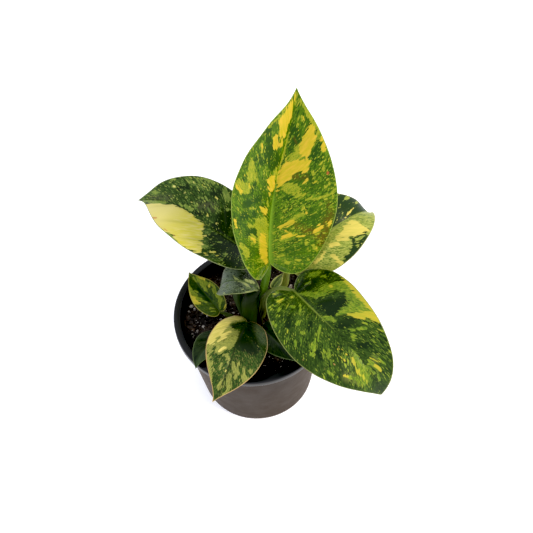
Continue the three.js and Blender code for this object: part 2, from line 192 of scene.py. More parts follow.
# The profile runs from the middle of the base out to the foot, up the wall, down and up the skirt, over
# the rim, and down inside over the stacking ledge to the base again.
wall_line = rounded((FOOT_RADIUS - FOOT_ROUND, FOOT_ROUND), FOOT_ROUND, -90, -5)
wall_line += [(wall_inside(z) + WALL, z) for z in (3, 6, 20, 40, 60, 80, under_rim - 0.5)]
pot_profile = (
    [(NEAR_AXIS, 0), (MIDDLE_RADIUS, 0), (MIDDLE_RADIUS + 1, CHANNEL_RISE)]
    + [(ring_inner - 1, CHANNEL_RISE), (ring_inner, 0.15), (ring_inner + 0.3, 0)]
    + wall_line
    + [(wall_inside(under_rim) + WALL + 0.5, under_rim), (skirt_inner - 0.4, under_rim)]
    + [(skirt_inner, under_rim - 0.4), (skirt_inner, skirt_foot + 0.2), (skirt_inner + 0.3, skirt_foot)]
    + rounded((RIM_RADIUS - SKIRT_ROUND, skirt_foot + SKIRT_ROUND), SKIRT_ROUND, -90, 0, 3)
    + rounded((RIM_RADIUS - RIM_ROUND, POT_HEIGHT - RIM_ROUND), RIM_ROUND, 0, 90)
    + rounded((rim_inner + LIP_ROUND, POT_HEIGHT - LIP_ROUND), LIP_ROUND, 90, 180)
    + [(wall_inside(ledge) + LEDGE_STEP * 0.6, ledge + 0.6), (wall_inside(ledge), ledge)]
    + [(wall_inside(z), z) for z in (80, 60, 40, 20, channel_top + 0.8)]
    + [(wall_inside(channel_top) - 0.8, channel_top), (MIDDLE_RADIUS + 1, channel_top)]
    + [(MIDDLE_RADIUS, WALL), (NEAR_AXIS, WALL)]
)
plastics = [
    polypropylene("moulded_black_polypropylene", "#0a0b0d", film_roughness=0.24, shine=0.26, haze=0),
    polypropylene("dusty_black_polypropylene", "#15110e", film_roughness=0.55, shine=0.16, haze=0.095),
]
dusty = [1 if place in wall_line else 0 for place in pot_profile]
pot = mesh_piece("pot_shell", *turned(pot_profile, POT_SIDES), plastics, dusty * POT_SIDES, POT_SHARP)
for hole in range(DRAIN_COUNT):
    turn = 2 * math.pi * hole / DRAIN_COUNT
    x, y = (DRAIN_CIRCLE_RADIUS * share for share in (math.cos(turn), math.sin(turn)))
    drill_places = []
    for z in (CHANNEL_RISE - WALL, channel_top + WALL):
        for side in range(DRILL_SIDES):
            angle = 2 * math.pi * side / DRILL_SIDES
            drill_places.append((x + DRAIN_RADIUS * math.cos(angle), y + DRAIN_RADIUS * math.sin(angle), z))
    following = [(i + 1) % DRILL_SIDES for i in range(DRILL_SIDES)]
    drill_faces = [(i, k, DRILL_SIDES + k, DRILL_SIDES + i) for i, k in enumerate(following)]
    drill_faces.append(tuple(range(DRILL_SIDES - 1, -1, -1)))
    drill_faces.append(tuple(range(DRILL_SIDES, 2 * DRILL_SIDES)))
    drill = mesh_piece("drill", drill_places, drill_faces, [])
    cut = pot.modifiers.new("drain_hole", "BOOLEAN")
    cut.operation = "DIFFERENCE"
    cut.solver = "EXACT"
    cut.object = drill
    bpy.context.view_layer.update()
    drilled = pot.evaluated_get(bpy.context.evaluated_depsgraph_get())
    whole = bpy.data.meshes.new_from_object(drilled)
    pot.modifiers.clear()
    pot.data = whole
    bpy.data.objects.remove(drill)
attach(pot, "root")
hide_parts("pot")

# Potting mix
# Loose mix of dark composted bark, peat and a little perlite, filled by hand to under the rim and left
# crumbly on top. It is one mound of fines with the coarser chips, fibres and white grains lying in it.

SOIL_LEVEL = 81.5
SOIL_LIFT = 0.4
SOIL_MOUND = 2.5
SOIL_MOUND_RADIUS = 14
SOIL_CLEARANCE = 0.35
SOIL_SIDES = 200
SOIL_RINGS = 62
CRUMB_SIZE = 3.2
CRUMB_HEIGHT = 1.5
FINES_GRAIN = 2.38
DAMP_PATCH = 16.7
CHIP_GRAIN = 1.43
CHIP_PATCH = 14.3
PERLITE_PORE = 0.909
CLOD_COUNT = 1500
CHIP_COUNT = 150
PERLITE_COUNT = 46
GRIT_COUNT = 520
LUMP_TILT = (0.5, 0.4)
STREW_MARGIN = 3
FIBRE_COUNT = 60
FIBRE_MARGIN = 6
FIBRE_LENGTH = (4, 10)
FIBRE_RADIUS = (0.15, 0.35)
FIBRE_STEPS = 6
FIBRE_BOW = 0.12
FIBRE_LIFT = 0.7
FINES, BARK, PERLITE = range(3)
# Single pieces that show in the photo: their place, radius and material.
COARSE_PIECES = [
    (-44.5, 15.6, 1.4, PERLITE), (-42.3, 13.4, 1.1, PERLITE), (-46.6, 12.4, 1, PERLITE),
    (-45.4, 2, 1.6, BARK), (-47.6, 5, 1.4, BARK), (-43, -0.6, 1.2, BARK),
    (-36.9, -2, 1.2, PERLITE), (-34, -1.4, 1, BARK), (22.4, 27.2, 1.2, PERLITE),
    (31, 24.4, 1.3, PERLITE), (7.7, -37, 1.1, BARK), (21, -34.6, 1, BARK),
]
draw = random.Random(7)


def mix_height(x, y):
    """The height of the fines at a place: level, mounded at the stem, with crumbs of two sizes."""
    coarse = noise.noise(Vector((x / (2 * CRUMB_SIZE), y / (2 * CRUMB_SIZE), 3.1)))
    fine = noise.noise(Vector((x / (0.6 * CRUMB_SIZE), y / (0.6 * CRUMB_SIZE), 8.7)))
    mound = SOIL_MOUND * math.exp(-((math.hypot(x, y) / SOIL_MOUND_RADIUS) ** 2))
    return SOIL_LEVEL + SOIL_LIFT + mound + CRUMB_HEIGHT * (0.75 * coarse + 0.45 * fine)


def lump(roughness, seed, finesse=2):
    """A small stone-like body of unit size: a ball with a rough surface."""
    ball = bmesh.new()
    bmesh.ops.create_icosphere(ball, subdivisions=finesse, radius=1)
    ball.verts.index_update()
    places = []
    for vertex in ball.verts:
        swell = noise.noise(vertex.co * 1.3 + Vector((seed, 0, 0)))
        grit = noise.noise(vertex.co * 3.1 + Vector((0, seed, 0)))
        places.append(tuple(vertex.co * (1 + roughness * (swell + 0.4 * grit))))
    faces = [tuple(vertex.index for vertex in face.verts) for face in ball.faces]
    ball.free()
    return np.array(places), faces


def composted_bark():
    """Damp composted bark and peat: almost black, matt, with brown where a crumb has dried."""
    material = new_material("composted_bark_fines")
    where = add(material, "TexCoord").outputs["Object"]
    crumbs = add(material, "TexNoise", {"Vector": where, "Scale": per_metre(FINES_GRAIN), "Detail": 5,
                                        "Roughness": 0.7})
    damp = add(material, "TexNoise", {"Vector": where, "Scale": per_metre(DAMP_PATCH), "Detail": 2})
    dried = add(material, "Math", {0: damp, 1: crumbs}, operation="MULTIPLY")
    colour = add(material, "ValToRGB", {0: dried}, stops=[(0.2, "#100d0a"), (0.44, "#463a2e"),
                                                          (0.31, "#201913")])
    relief = add(material, "Bump", {"Height": crumbs, "Distance": 0.6 * MM, "Strength": 0.9})
    shader = add(material, "BsdfPrincipled", {"Base Color": colour, "Roughness": 0.92, "IOR": 1.4,
                                              "Normal": relief})
    add(material, "OutputMaterial", {0: shader})
    return material


def bark_chip():
    """Pine bark chip: reddish brown and fibrous, paler where it has split."""
    material = new_material("pine_bark_chip")
    where = add(material, "TexCoord").outputs["Object"]
    grain = add(material, "TexNoise", {"Vector": where, "Scale": per_metre(CHIP_GRAIN), "Detail": 4,
                                       "Distortion": 1})
    piece = add(material, "TexNoise", {"Vector": where, "Scale": per_metre(CHIP_PATCH), "Detail": 1})
    split = add(material, "Math", {0: grain, 1: piece}, operation="MULTIPLY")
    colour = add(material, "ValToRGB", {0: split}, stops=[(0.15, "#100b08"), (0.45, "#75583f"),
                                                          (0.28, "#261b13")])
    relief = add(material, "Bump", {"Height": grain, "Distance": 0.4 * MM})
    shader = add(material, "BsdfPrincipled", {"Base Color": colour, "Roughness": 0.85, "Normal": relief})
    add(material, "OutputMaterial", {0: shader})
    return material


def perlite():
    """Perlite: puffed volcanic glass, a matt off-white with dirt in its pores. The real pores are under
    0.2 mm, too fine to show, so they are drawn at PERLITE_PORE."""
    material = new_material("expanded_perlite")
    where = add(material, "TexCoord").outputs["Object"]
    pores = add(material, "TexNoise", {"Vector": where, "Scale": per_metre(PERLITE_PORE), "Detail": 3})
    colour = add(material, "ValToRGB", {0: pores}, stops=[(0.36, "#4a4039"), (0.62, "#b5aea4")])
    relief = add(material, "Bump", {"Height": pores, "Distance": 0.3 * MM})
    shader = add(material, "BsdfPrincipled", {"Base Color": colour, "Roughness": 0.9, "Normal": relief})
    add(material, "OutputMaterial", {0: shader})
    return material


def lay(x, y, radius, slot, flatness, length, sink, lumps):
    """Lays one lump on the mix at a place, turned at random and sunk by a share of its height."""
    body, faces = lumps[draw.randrange(len(lumps))]
    shape = np.array([draw.uniform(*length), 1, draw.uniform(*flatness)]) * radius
    tips = [Matrix.Rotation(draw.uniform(-tilt, tilt), 3, axis) for tilt, axis in zip(LUMP_TILT, "XY")]
    spin = np.array(Matrix.Rotation(draw.random() * 2 * math.pi, 3, "Z") @ (tips[0] @ tips[1]))
    z = mix_height(x, y) + shape[2] * (1 - 2 * sink)
    start = len(soil_places)
    soil_places.extend(((body * shape) @ spin.T + (x, y, z)).tolist())
    soil_faces.extend(tuple(start + i for i in face) for face in faces)
    soil_slots.extend([slot] * len(faces))


def strew(count, slot, size, flatness, length, sink, lumps):
    """Lays lumps on the mix at random places."""
    for _ in range(count):
        turn = draw.random() * 2 * math.pi
        out = math.sqrt(draw.random()) * (soil_edge - STREW_MARGIN)
        radius = draw.uniform(*size)
        lay(out * math.cos(turn), out * math.sin(turn), radius, slot, flatness, length, sink, lumps)


# The fines: rings of the crumbly top, then the side and the flat bottom of the filling.
soil_edge = wall_inside(SOIL_LEVEL) - SOIL_CLEARANCE
soil_bottom = channel_top + SOIL_CLEARANCE
soil_places = [(0, 0, mix_height(0, 0))]
for ring in range(1, SOIL_RINGS + 1):
    for side in range(SOIL_SIDES):
        turn = 2 * math.pi * (side + 0.5 * (ring % 2)) / SOIL_SIDES
        out = soil_edge * ring / SOIL_RINGS
        x, y = out * math.cos(turn), out * math.sin(turn)
        soil_places.append((x, y, mix_height(x, y)))
for radius in (wall_inside(soil_bottom) - SOIL_CLEARANCE, NEAR_AXIS):
    for side in range(SOIL_SIDES):
        turn = 2 * math.pi * side / SOIL_SIDES
        soil_places.append((radius * math.cos(turn), radius * math.sin(turn), soil_bottom))
soil_faces = [(0, 1 + side, 1 + (side + 1) % SOIL_SIDES) for side in range(SOIL_SIDES)]
for ring in range(SOIL_RINGS + 1):
    for side in range(SOIL_SIDES):
        a = 1 + ring * SOIL_SIDES + side
        b = 1 + ring * SOIL_SIDES + (side + 1) % SOIL_SIDES
        soil_faces.append((a, a + SOIL_SIDES, b + SOIL_SIDES, b))
last_ring = 1 + (SOIL_RINGS + 1) * SOIL_SIDES
soil_faces.append(tuple(last_ring + side for side in range(SOIL_SIDES - 1, -1, -1)))
soil_slots = [FINES] * len(soil_faces)

clods = [lump(0.5, seed) for seed in (1.0, 2.5, 4.0, 5.5)]
grains = [lump(0.3, seed) for seed in (7.0, 8.5)]
grits = [lump(0.3, seed, 1) for seed in (9.0, 9.5)]
strew(CLOD_COUNT, FINES, size=(0.5, 1.5), flatness=(0.5, 0.9), length=(0.9, 1.5), sink=0.55, lumps=clods)
strew(CHIP_COUNT, BARK, size=(0.9, 2.1), flatness=(0.3, 0.5), length=(1.2, 2.4), sink=0.4, lumps=clods)
strew(PERLITE_COUNT, PERLITE, (0.5, 1.15), (0.7, 0.95), length=(0.9, 1.2), sink=0.35, lumps=grains)
strew(GRIT_COUNT, PERLITE, (0.22, 0.5), flatness=(0.7, 1), length=(0.9, 1.3), sink=0.1, lumps=grits)
for x, y, radius, slot in COARSE_PIECES:
    lay(x, y, radius, slot, flatness=(0.6, 0.8), length=(1, 1.4), sink=0.3, lumps=clods)
# Fibres: thin four-sided rods that bow one way and back.
for _ in range(FIBRE_COUNT):
    turn = draw.random() * 2 * math.pi
    out = math.sqrt(draw.random()) * (soil_edge - FIBRE_MARGIN)
    heading = draw.random() * 2 * math.pi
    reach = draw.uniform(*FIBRE_LENGTH)
    thick = draw.uniform(*FIBRE_RADIUS)
    start = len(soil_places)
    for step in range(FIBRE_STEPS + 1):
        along = (step / FIBRE_STEPS - 0.5) * reach
        bow = FIBRE_BOW * reach * math.sin(2 * math.pi * step / FIBRE_STEPS)
        x = out * math.cos(turn) + along * math.cos(heading) - bow * math.sin(heading)
        y = out * math.sin(turn) + along * math.sin(heading) + bow * math.cos(heading)
        z = mix_height(x, y) + FIBRE_LIFT
        for corner in range(4):
            across = thick * math.cos(corner * math.pi / 2)
            rise = thick * math.sin(corner * math.pi / 2)
            soil_places.append((x - across * math.sin(heading), y + across * math.cos(heading), z + rise))
    for step in range(FIBRE_STEPS):
        for corner in range(4):
            a, b = start + step * 4 + corner, start + step * 4 + (corner + 1) % 4
            soil_faces.append((a, b, b + 4, a + 4))
    soil_faces.append(tuple(start + i for i in (3, 2, 1, 0)))
    soil_faces.append(tuple(start + 4 * FIBRE_STEPS + i for i in range(4)))
    soil_slots += [BARK] * (4 * FIBRE_STEPS + 2)
mix_finishes = [composted_bark(), bark_chip(), perlite()]
mix = mesh_piece("potting_mix_top", soil_places, soil_faces, mix_finishes, soil_slots)
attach(mix, "root")
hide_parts("potting_mix")

# Stem
# The short green stem that the petioles wrap, grown as one piece, with a ring where each leaf is joined.
# It stands in the mix to a little way down and shows only between the petioles.

# Places up the stem, each with its radius.
STEM = [
    ((1.4, 0.6, 54), 3), ((1.4, 0.6, 60), 5.5), ((1.5, 0.8, 73), 5.5), ((1.8, 1.2, 81), 3.3),
    ((2.3, 1.3, 91), 3.1),
]
STEM_SIDES = 28
STEM_SHARP = 60
JOINT_SWELL = 0.05
JOINT_PACE = 38
CORK_PATCH = 3.85
# Lengths along blades and petioles are mapped in decimetres.
DECIMETRE = 100


def smooth_path(points, steps):
    """Places on a smooth curve through points, with the share of the way from one point to the next."""
    points = np.array(points, float)
    padded = np.vstack([2 * points[0] - points[1], points, 2 * points[-1] - points[-2]])
    knots = np.concatenate([[0], np.cumsum(np.linalg.norm(np.diff(padded, axis=0), axis=1) ** 0.5)])
    places, shares = [], []
    for i in range(1, len(padded) - 2):
        k = knots[i - 1:i + 3]
        for t in np.linspace(k[1], k[2], steps, endpoint=i == len(padded) - 3):
            level = [padded[i - 1 + j] for j in range(4)]
            for width in (1, 2):
                level = [((k[j + width] - t) * level[j] + (t - k[j]) * level[j + 1]) / (k[j + width] - k[j])
                         for j in range(len(level) - 1)]
            places.append(((k[2] - t) * level[0] + (t - k[1]) * level[1]) / (k[2] - k[1]))
            shares.append(i - 1 + (t - k[1]) / (k[2] - k[1]))
    return np.array(places), np.array(shares)


def stalk(path, sides, section=None, steps=10, up=(0, 0, 1)):
    """A closed tube through places with radii. section(turn, share) scales the radius round it.
    The turn is measured from the side that ends up facing up. Also gives each place's share of a turn
    and its length along in decimetres."""
    centres, shares = smooth_path([place for place, _ in path], steps)
    radii = np.interp(shares, range(len(path)), [radius for _, radius in path])
    along = np.concatenate([[0], np.cumsum(np.linalg.norm(np.diff(centres, axis=0), axis=1))])
    tangents = np.gradient(centres, axis=0)
    tangents /= np.linalg.norm(tangents, axis=1)[:, None]
    frames = [None] * len(centres)
    side = np.cross(tangents[-1], up)
    for ring in range(len(centres) - 1, -1, -1):
        side = side - side.dot(tangents[ring]) * tangents[ring]
        side = side / np.linalg.norm(side)
        frames[ring] = (np.cross(side, tangents[ring]), side)
    places, map_places = [], []
    for ring, centre in enumerate(centres):
        top, across = frames[ring]
        for corner in range(sides):
            turn = 2 * math.pi * corner / sides
            radius = radii[ring] * (section(turn, along[ring] / along[-1]) if section else 1)
            places.append(centre + radius * (math.cos(turn) * top + math.sin(turn) * across))
            map_places.append((turn / (2 * math.pi), along[ring] / DECIMETRE))
    faces = []
    for ring in range(len(centres) - 1):
        for corner in range(sides):
            a, b = ring * sides + corner, ring * sides + (corner + 1) % sides
            faces.append((a, a + sides, b + sides, b))
    faces.append(tuple(range(sides)))
    faces.append(tuple(len(places) - 1 - i for i in range(sides)))
    return places, faces, map_places


def stem_rings(turn, share):
    """The stem swells a little at each leaf joint."""
    return 1 + JOINT_SWELL * math.sin(share * JOINT_PACE) ** 8


def young_stem():
    """Young living stem: green with brown cork at the joints, smooth and slightly glossy."""
    material = new_material("young_green_stem")
    where = add(material, "TexCoord").outputs["Object"]
    cork = add(material, "TexNoise", {"Vector": where, "Scale": per_metre(CORK_PATCH), "Detail": 4})
    colour = add(material, "ValToRGB", {0: cork}, stops=[(0.4, "#1c2b10"), (0.62, "#4b4424")])
    relief = add(material, "Bump", {"Height": cork, "Distance": 0.2 * MM})
    shader = add(material, "BsdfPrincipled", {"Base Color": colour, "Roughness": 0.5, "Normal": relief})
    add(material, "OutputMaterial", {0: shader})
    return material


stem_places, stem_faces, _ = stalk(STEM, STEM_SIDES, stem_rings)
stem = mesh_piece("stem_core", stem_places, stem_faces, [young_stem()], sharp_degrees=STEM_SHARP)
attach(stem, "root")
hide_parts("stem")

# Tall leaf
# The newest full leaf: a heart-shaped blade, green with lime and yellow sectors, on a petiole that
# clasps the stem. It grew as one piece, and its sectors follow the side veins out from the midrib.

BLADE_THICKNESS = 0.5
THIN_MARGIN = 1.5
RIB_DEPTH = (1.9, 0.3)
RIB_HALF_WIDTH = (2.4, 1.0)
GROOVE_DEPTH = 0.4
GROOVE_HALF_WIDTH = 1.1
SHOULDER_HEIGHT = 0.15
SHOULDER_PLACE = 2.6
SHOULDER_HALF_WIDTH = 1.3
VEIN_COUNT = 7
VEIN_DEPTH = 0.16
VEIN_LINE = 0.09
WAVE_LENGTH = 26
SWELL_HEIGHT = 0.35
SWELL_RUN = {"across": 9, "along": 13}
DRIP_LENGTH = 10
OUTLINE_STEPS = 240
MIDRIB_STEPS = 1500
ROW_SPREAD = 1.2
VEIN_LEAN = 3
VEIN_SPREAD = 0.06
VEIN_BOW = {"across": 0.55, "along": 0.35}
PETIOLE_SIDES = 26
PETIOLE_RUN_ON = 5
PETIOLE_GROOVE = 0.16
PETIOLE_GROOVE_TURN = 0.5
SHEATH_EDGE = 0.2
SHEATH_EDGE_PLACE = 0.85
SHEATH_EDGE_TURN = 0.16
STREAKS_ROUND = 14
STREAK_LENGTH = 20
SKIN_RELIEF = 0.12
THIN_STROKE = 2.4
STROKE_REACH = 8
# What is painted by strokes, and what else the shader reads at each place.
STROKES = ("dark", "lime", "yellow", "blush_and_painted_sheen", "flecks", "spots")
PAINTED = STROKES + ("rim", "rib", "side_vein", "under")
# Cloudy patterns: their size along and across the side veins, and their octaves. The skin's real grain is
# about 0.1 mm, finer than a pixel, so it is drawn at half a millimetre.
CLOUDS = {"slow": (24, 12, 2), "mottle": (3.2, 1.5, 3), "fingers": (8, 2.0, 3), "skin": (1.6, 0.5, 3)}
# Islands of pale tissue: their size along and across the side veins, how much of its cell the largest
# fills, how many more or fewer there are, and the two colours they lie between.
ISLANDS = [
    (2.6, 1.4, 0.4, 0.12, "deep", "dark"),
    (1.8, 1.2, 0.42, 0.12, "fleck", "fleck2"),
    (4.4, 2.3, 0.36, -0.02, "fleck", "lime2"),
    (8.0, 3.4, 0.3, -0.2, "lime", "yellow"),
]


def bezier(points, t):
    """Places on a cubic curve at each t, and the direction there."""
    p = np.array(points, float)
    t = np.asarray(t, float)[..., None]
    places = (1 - t) ** 3 * p[0] + 3 * t * (1 - t) ** 2 * p[1] + 3 * t * t * (1 - t) * p[2] + t ** 3 * p[3]
    ways = (1 - t) ** 2 * (p[1] - p[0]) + 2 * t * (1 - t) * (p[2] - p[1]) + t * t * (p[3] - p[2])
    return places, ways / np.linalg.norm(ways, axis=-1, keepdims=True)


def run_of(places):
    """The length run at each of the places of a line."""
    return np.concatenate([[0], np.cumsum(np.linalg.norm(np.diff(places, axis=0), axis=1))])


def half_outline(leaf, half_width, length):
    """One half of a blade's outline laid flat, base lobe to tip: x out from the midrib, y along it."""
    widest = leaf["widest"] * length
    lobe_out, lobe_back = (share * length for share in leaf["lobe"])
    swell_back, swell_on = (share * length for share in leaf["swell"])
    taper_out, taper_back = (share * length for share in leaf["taper"])
    t = np.linspace(0, 1, OUTLINE_STEPS)
    side = (half_width, widest)
    lobe = [(0, 0), (lobe_out, -lobe_back), (half_width, widest - swell_back), side]
    tip = [side, (half_width, widest + swell_on), (taper_out, length - taper_back), (0, length)]
    return np.vstack([bezier(lobe, t)[0], bezier(tip, t)[0][1:]])


def bend(leaf, x, y, lift, length, fine_t, fine_run):
    """Bends flat places on a blade into space. x is signed, and lift is the height off the blade. The
    midrib follows its curve, and each half folds up from it and droops to the margin."""
    side = np.where(x < 0, -1.0, 1.0)
    out_x = np.abs(x)
    inside = np.clip(y, 0, length)
    centre, tangent = bezier(leaf["midrib"], np.interp(inside, fine_run, fine_t))
    centre = centre + tangent * (y - inside)[..., None]
    faces = [np.array(f) / np.linalg.norm(f) for f in leaf["face"]]
    share = (inside / length)[..., None]
    up = faces[0] * (1 - share) + faces[1] * share
    up = up - (up * tangent).sum(-1, keepdims=True) * tangent
    up = up / np.linalg.norm(up, axis=-1, keepdims=True)
    out = np.cross(tangent, up) * side[..., None]
    fold = math.radians(leaf["fold"])
    curl = -math.radians(leaf["droop"]) / max(leaf["half_width"])
    angle = fold + curl * out_x
    sideways = (np.sin(angle) - math.sin(fold)) / curl
    rise = (math.cos(fold) - np.cos(angle)) / curl
    lean = angle * np.minimum(out_x / 2, 1)
    normal = up * np.cos(lean)[..., None] - out * np.sin(lean)[..., None]
    return centre + out * sideways[..., None] + up * rise[..., None] + normal * lift[..., None]


def stroke_field(strokes, x, y):
    """How far in a place is from the edge of the nearest of some strokes, in millimetres, and outside
    minus how far off it is. A stroke is the places of its two ends, in flat millimetres out from the
    midrib and up the blade, and its half width at each. One to the side stops at the midrib. A thin
    one's field is steeper, so that noise can't break it up."""
    field = np.full(x.shape, -float(STROKE_REACH))
    for x0, y0, x1, y1, w0, w1 in strokes:
        dx, dy = x1 - x0, y1 - y0
        t = np.clip(((x - x0) * dx + (y - y0) * dy) / max(dx * dx + dy * dy, 1e-6), 0, 1)
        depth = w0 + (w1 - w0) * t - np.hypot(x - x0 - t * dx, y - y0 - t * dy)
        depth *= max(1, THIN_STROKE / (max(w0, w1) + 0.2))
        if x0 * x1 > 0 or abs(x0 + x1) > 1:
            depth = depth - 2 * np.where(x * (x0 + x1) < 0, np.abs(x), 0)
        field = np.maximum(field, depth)
    return np.clip(field, -STROKE_REACH, STROKE_REACH)


def blade_grid(leaf):
    """Flat places of a blade in rows that follow its side veins, margin to margin, with what each needs:
    its run out along the vein, its distance from the margin and its run round it, and then the rows'
    shares of the way round, the columns' shares of the way out, and the midrib's length and run."""
    fine_t = np.linspace(0, 1, MIDRIB_STEPS)
    fine_run = run_of(bezier(leaf["midrib"], fine_t)[0])
    length = fine_run[-1]
    rows, columns = leaf["grid"]
    drip = leaf.get("drip", 2)
    u = (np.arange(rows + 1) / rows) ** ROW_SPREAD
    # The columns stand closer together at the midrib and at the margin.
    out = np.linspace(0, 1, columns + 1)
    out = 0.55 * out ** 1.8 + 0.45 * (1 - (1 - out) ** 1.6)
    handle = 2 * out * (1 - out)
    start = (length + drip) * ((1 - VEIN_SPREAD) * u ** VEIN_LEAN + VEIN_SPREAD * u)
    halves = []
    for side, half_width in zip((-1, 1), leaf["half_width"]):
        edge = half_outline(leaf, half_width, length)
        edge[:, 1] += drip * np.clip((edge[:, 1] - length + DRIP_LENGTH) / DRIP_LENGTH, 0, 1) ** 2
        run = run_of(edge)
        edge_x = np.interp(u * run[-1], run, edge[:, 0])
        edge_y = np.interp(u * run[-1], run, edge[:, 1])
        x = edge_x[:, None] * (out ** 2 + handle * VEIN_BOW["across"])
        y = start[:, None] + (edge_y - start)[:, None] * (out ** 2 + handle * VEIN_BOW["along"])
        reach = np.hypot(edge_x, edge_y - start)[:, None] * out
        rim = np.array([np.min(np.hypot(edge[:, 0] - a, edge[:, 1] - b)) for a, b in zip(x.flat, y.flat)])
        round_run = np.full(x.shape, run[-1]) * u[:, None]
        halves.append((side * x, y, side * reach, rim.reshape(x.shape), round_run))
    joined = [np.hstack([left[:, :0:-1], right]) for left, right in zip(*halves)]
    share_out = np.concatenate([out[:0:-1], out])
    return joined, u, share_out, length, fine_t, fine_run


def blade(leaf):
    """A blade as a closed body: its places, faces and what its shader reads at each place."""
    (x, y, reach, rim, run), u, share_out, length, fine_t, fine_run = blade_grid(leaf)
    row_u = u[:, None] * np.ones_like(x)
    height = np.clip(y / length, 0, 1)
    phase = leaf.get("phase", 0)
    # The top is grooved over the midrib and quilted by the side veins.
    groove_share = 1 - 0.7 * row_u
    groove = GROOVE_DEPTH * groove_share * np.exp(-((x / GROOVE_HALF_WIDTH) ** 2))
    off_shoulder = (np.abs(x) - SHOULDER_PLACE) / SHOULDER_HALF_WIDTH
    shoulder = SHOULDER_HEIGHT * groove_share * np.exp(-(off_shoulder ** 2))
    vein_place = row_u ** 0.9 * VEIN_COUNT
    vein_line = np.exp(-(((vein_place - np.round(vein_place)) / VEIN_LINE) ** 2))
    fade = np.clip(share_out * 4, 0, 1) * np.clip((1 - share_out) * 3, 0, 1) * np.clip((1 - row_u) * 4, 0, 1)
    quilt = VEIN_DEPTH * fade * (vein_line - 0.5 + 0.5 * np.cos(2 * math.pi * vein_place))
    # The margin waves, and the whole blade swells a little.
    wave_side = np.where(x < 0, 1.7, 0) + phase
    waves = leaf.get("wave", 0.4) * share_out ** 2.5 * np.sin(2 * math.pi * run / WAVE_LENGTH + wave_side)
    waves *= np.clip(row_u * 5, 0, 1) * np.clip((1 - row_u) * 6, 0, 1)
    swell = SWELL_HEIGHT * share_out * np.sin(x / SWELL_RUN["across"] + phase)
    swell *= np.sin(y / SWELL_RUN["along"] + 2 * phase)
    body = waves + swell
    # The blade thins to its margin, and the midrib stands out below.
    thick = BLADE_THICKNESS * (0.45 + 0.55 * np.minimum(rim / THIN_MARGIN, 1))
    rib_width = RIB_HALF_WIDTH[0] + (RIB_HALF_WIDTH[1] - RIB_HALF_WIDTH[0]) * row_u
    rib = leaf.get("rib", 1) * (RIB_DEPTH[0] + (RIB_DEPTH[1] - RIB_DEPTH[0]) * row_u)
    rib = rib * np.exp(-((x / rib_width) ** 2)) * np.clip((1 - row_u) * 8, 0, 1)
    top = bend(leaf, x, y, body + thick / 2 + shoulder - groove - quilt, length, fine_t, fine_run)
    low = bend(leaf, x, y, body - thick / 2 - rib - quilt, length, fine_t, fine_run)

    # Faces of the top, the underside and the margin. The first and last rows close to a point.
    rows, across = x.shape
    index = np.arange(rows * across).reshape(rows, across)
    index[0] = index[0, across // 2]
    index[-1] = index[-1, across // 2]
    under = index + rows * across
    rings = []
    for row in range(rows - 1):
        for grid, way in ((index, 1), (under, -1)):
            for k in range(across - 1):
                rings.append([grid[row, k], grid[row, k + 1], grid[row + 1, k + 1], grid[row + 1, k]][::way])
        for k, way in ((0, 1), (-1, -1)):
            rings.append([index[row, k], index[row + 1, k], under[row + 1, k], under[row, k]][::way])
    kept, numbers = np.unique(np.array(rings), return_inverse=True)
    faces = [tuple(dict.fromkeys(ring)) for ring in numbers.reshape(len(rings), 4).tolist()]

    pale_rib = leaf.get("rib_line", 1) * (1 - 0.75 * height)
    facts = {
        "flat": np.stack([x, y], -1) / DECIMETRE,
        "vein": np.stack([reach, run], -1) / DECIMETRE,
        "rim": rim,
        "rib": np.exp(-((x / pale_rib) ** 2)) * np.clip((leaf.get("rib_end", 1) - height) * 4, 0, 1),
        "side_vein": vein_line * fade,
    }
    for kind in STROKES:
        facts[kind] = stroke_field(leaf.get("strokes", {}).get(kind, []), x, y)
    for name, values in facts.items():
        facts[name] = np.vstack([values.reshape(rows * across, -1)] * 2)[kept]
    facts["under"] = np.where(kept[:, None] < rows * across, 0, 1)
    places = np.vstack([top.reshape(-1, 3), low.reshape(-1, 3)])[kept]
    return places, faces, facts


def petiole_section(turn, share):
    """A petiole is round below and grooved above, with the two thin edges of its sheath lower down."""
    groove = PETIOLE_GROOVE * math.exp(-((math.remainder(turn, 2 * math.pi) / PETIOLE_GROOVE_TURN) ** 2))
    edges = 0
    for place in (SHEATH_EDGE_PLACE, -SHEATH_EDGE_PLACE):
        edges += math.exp(-((math.remainder(turn - place, 2 * math.pi) / SHEATH_EDGE_TURN) ** 2))
    return 1 - groove + SHEATH_EDGE * edges * min(1, max(0, 1.25 - 1.3 * share))


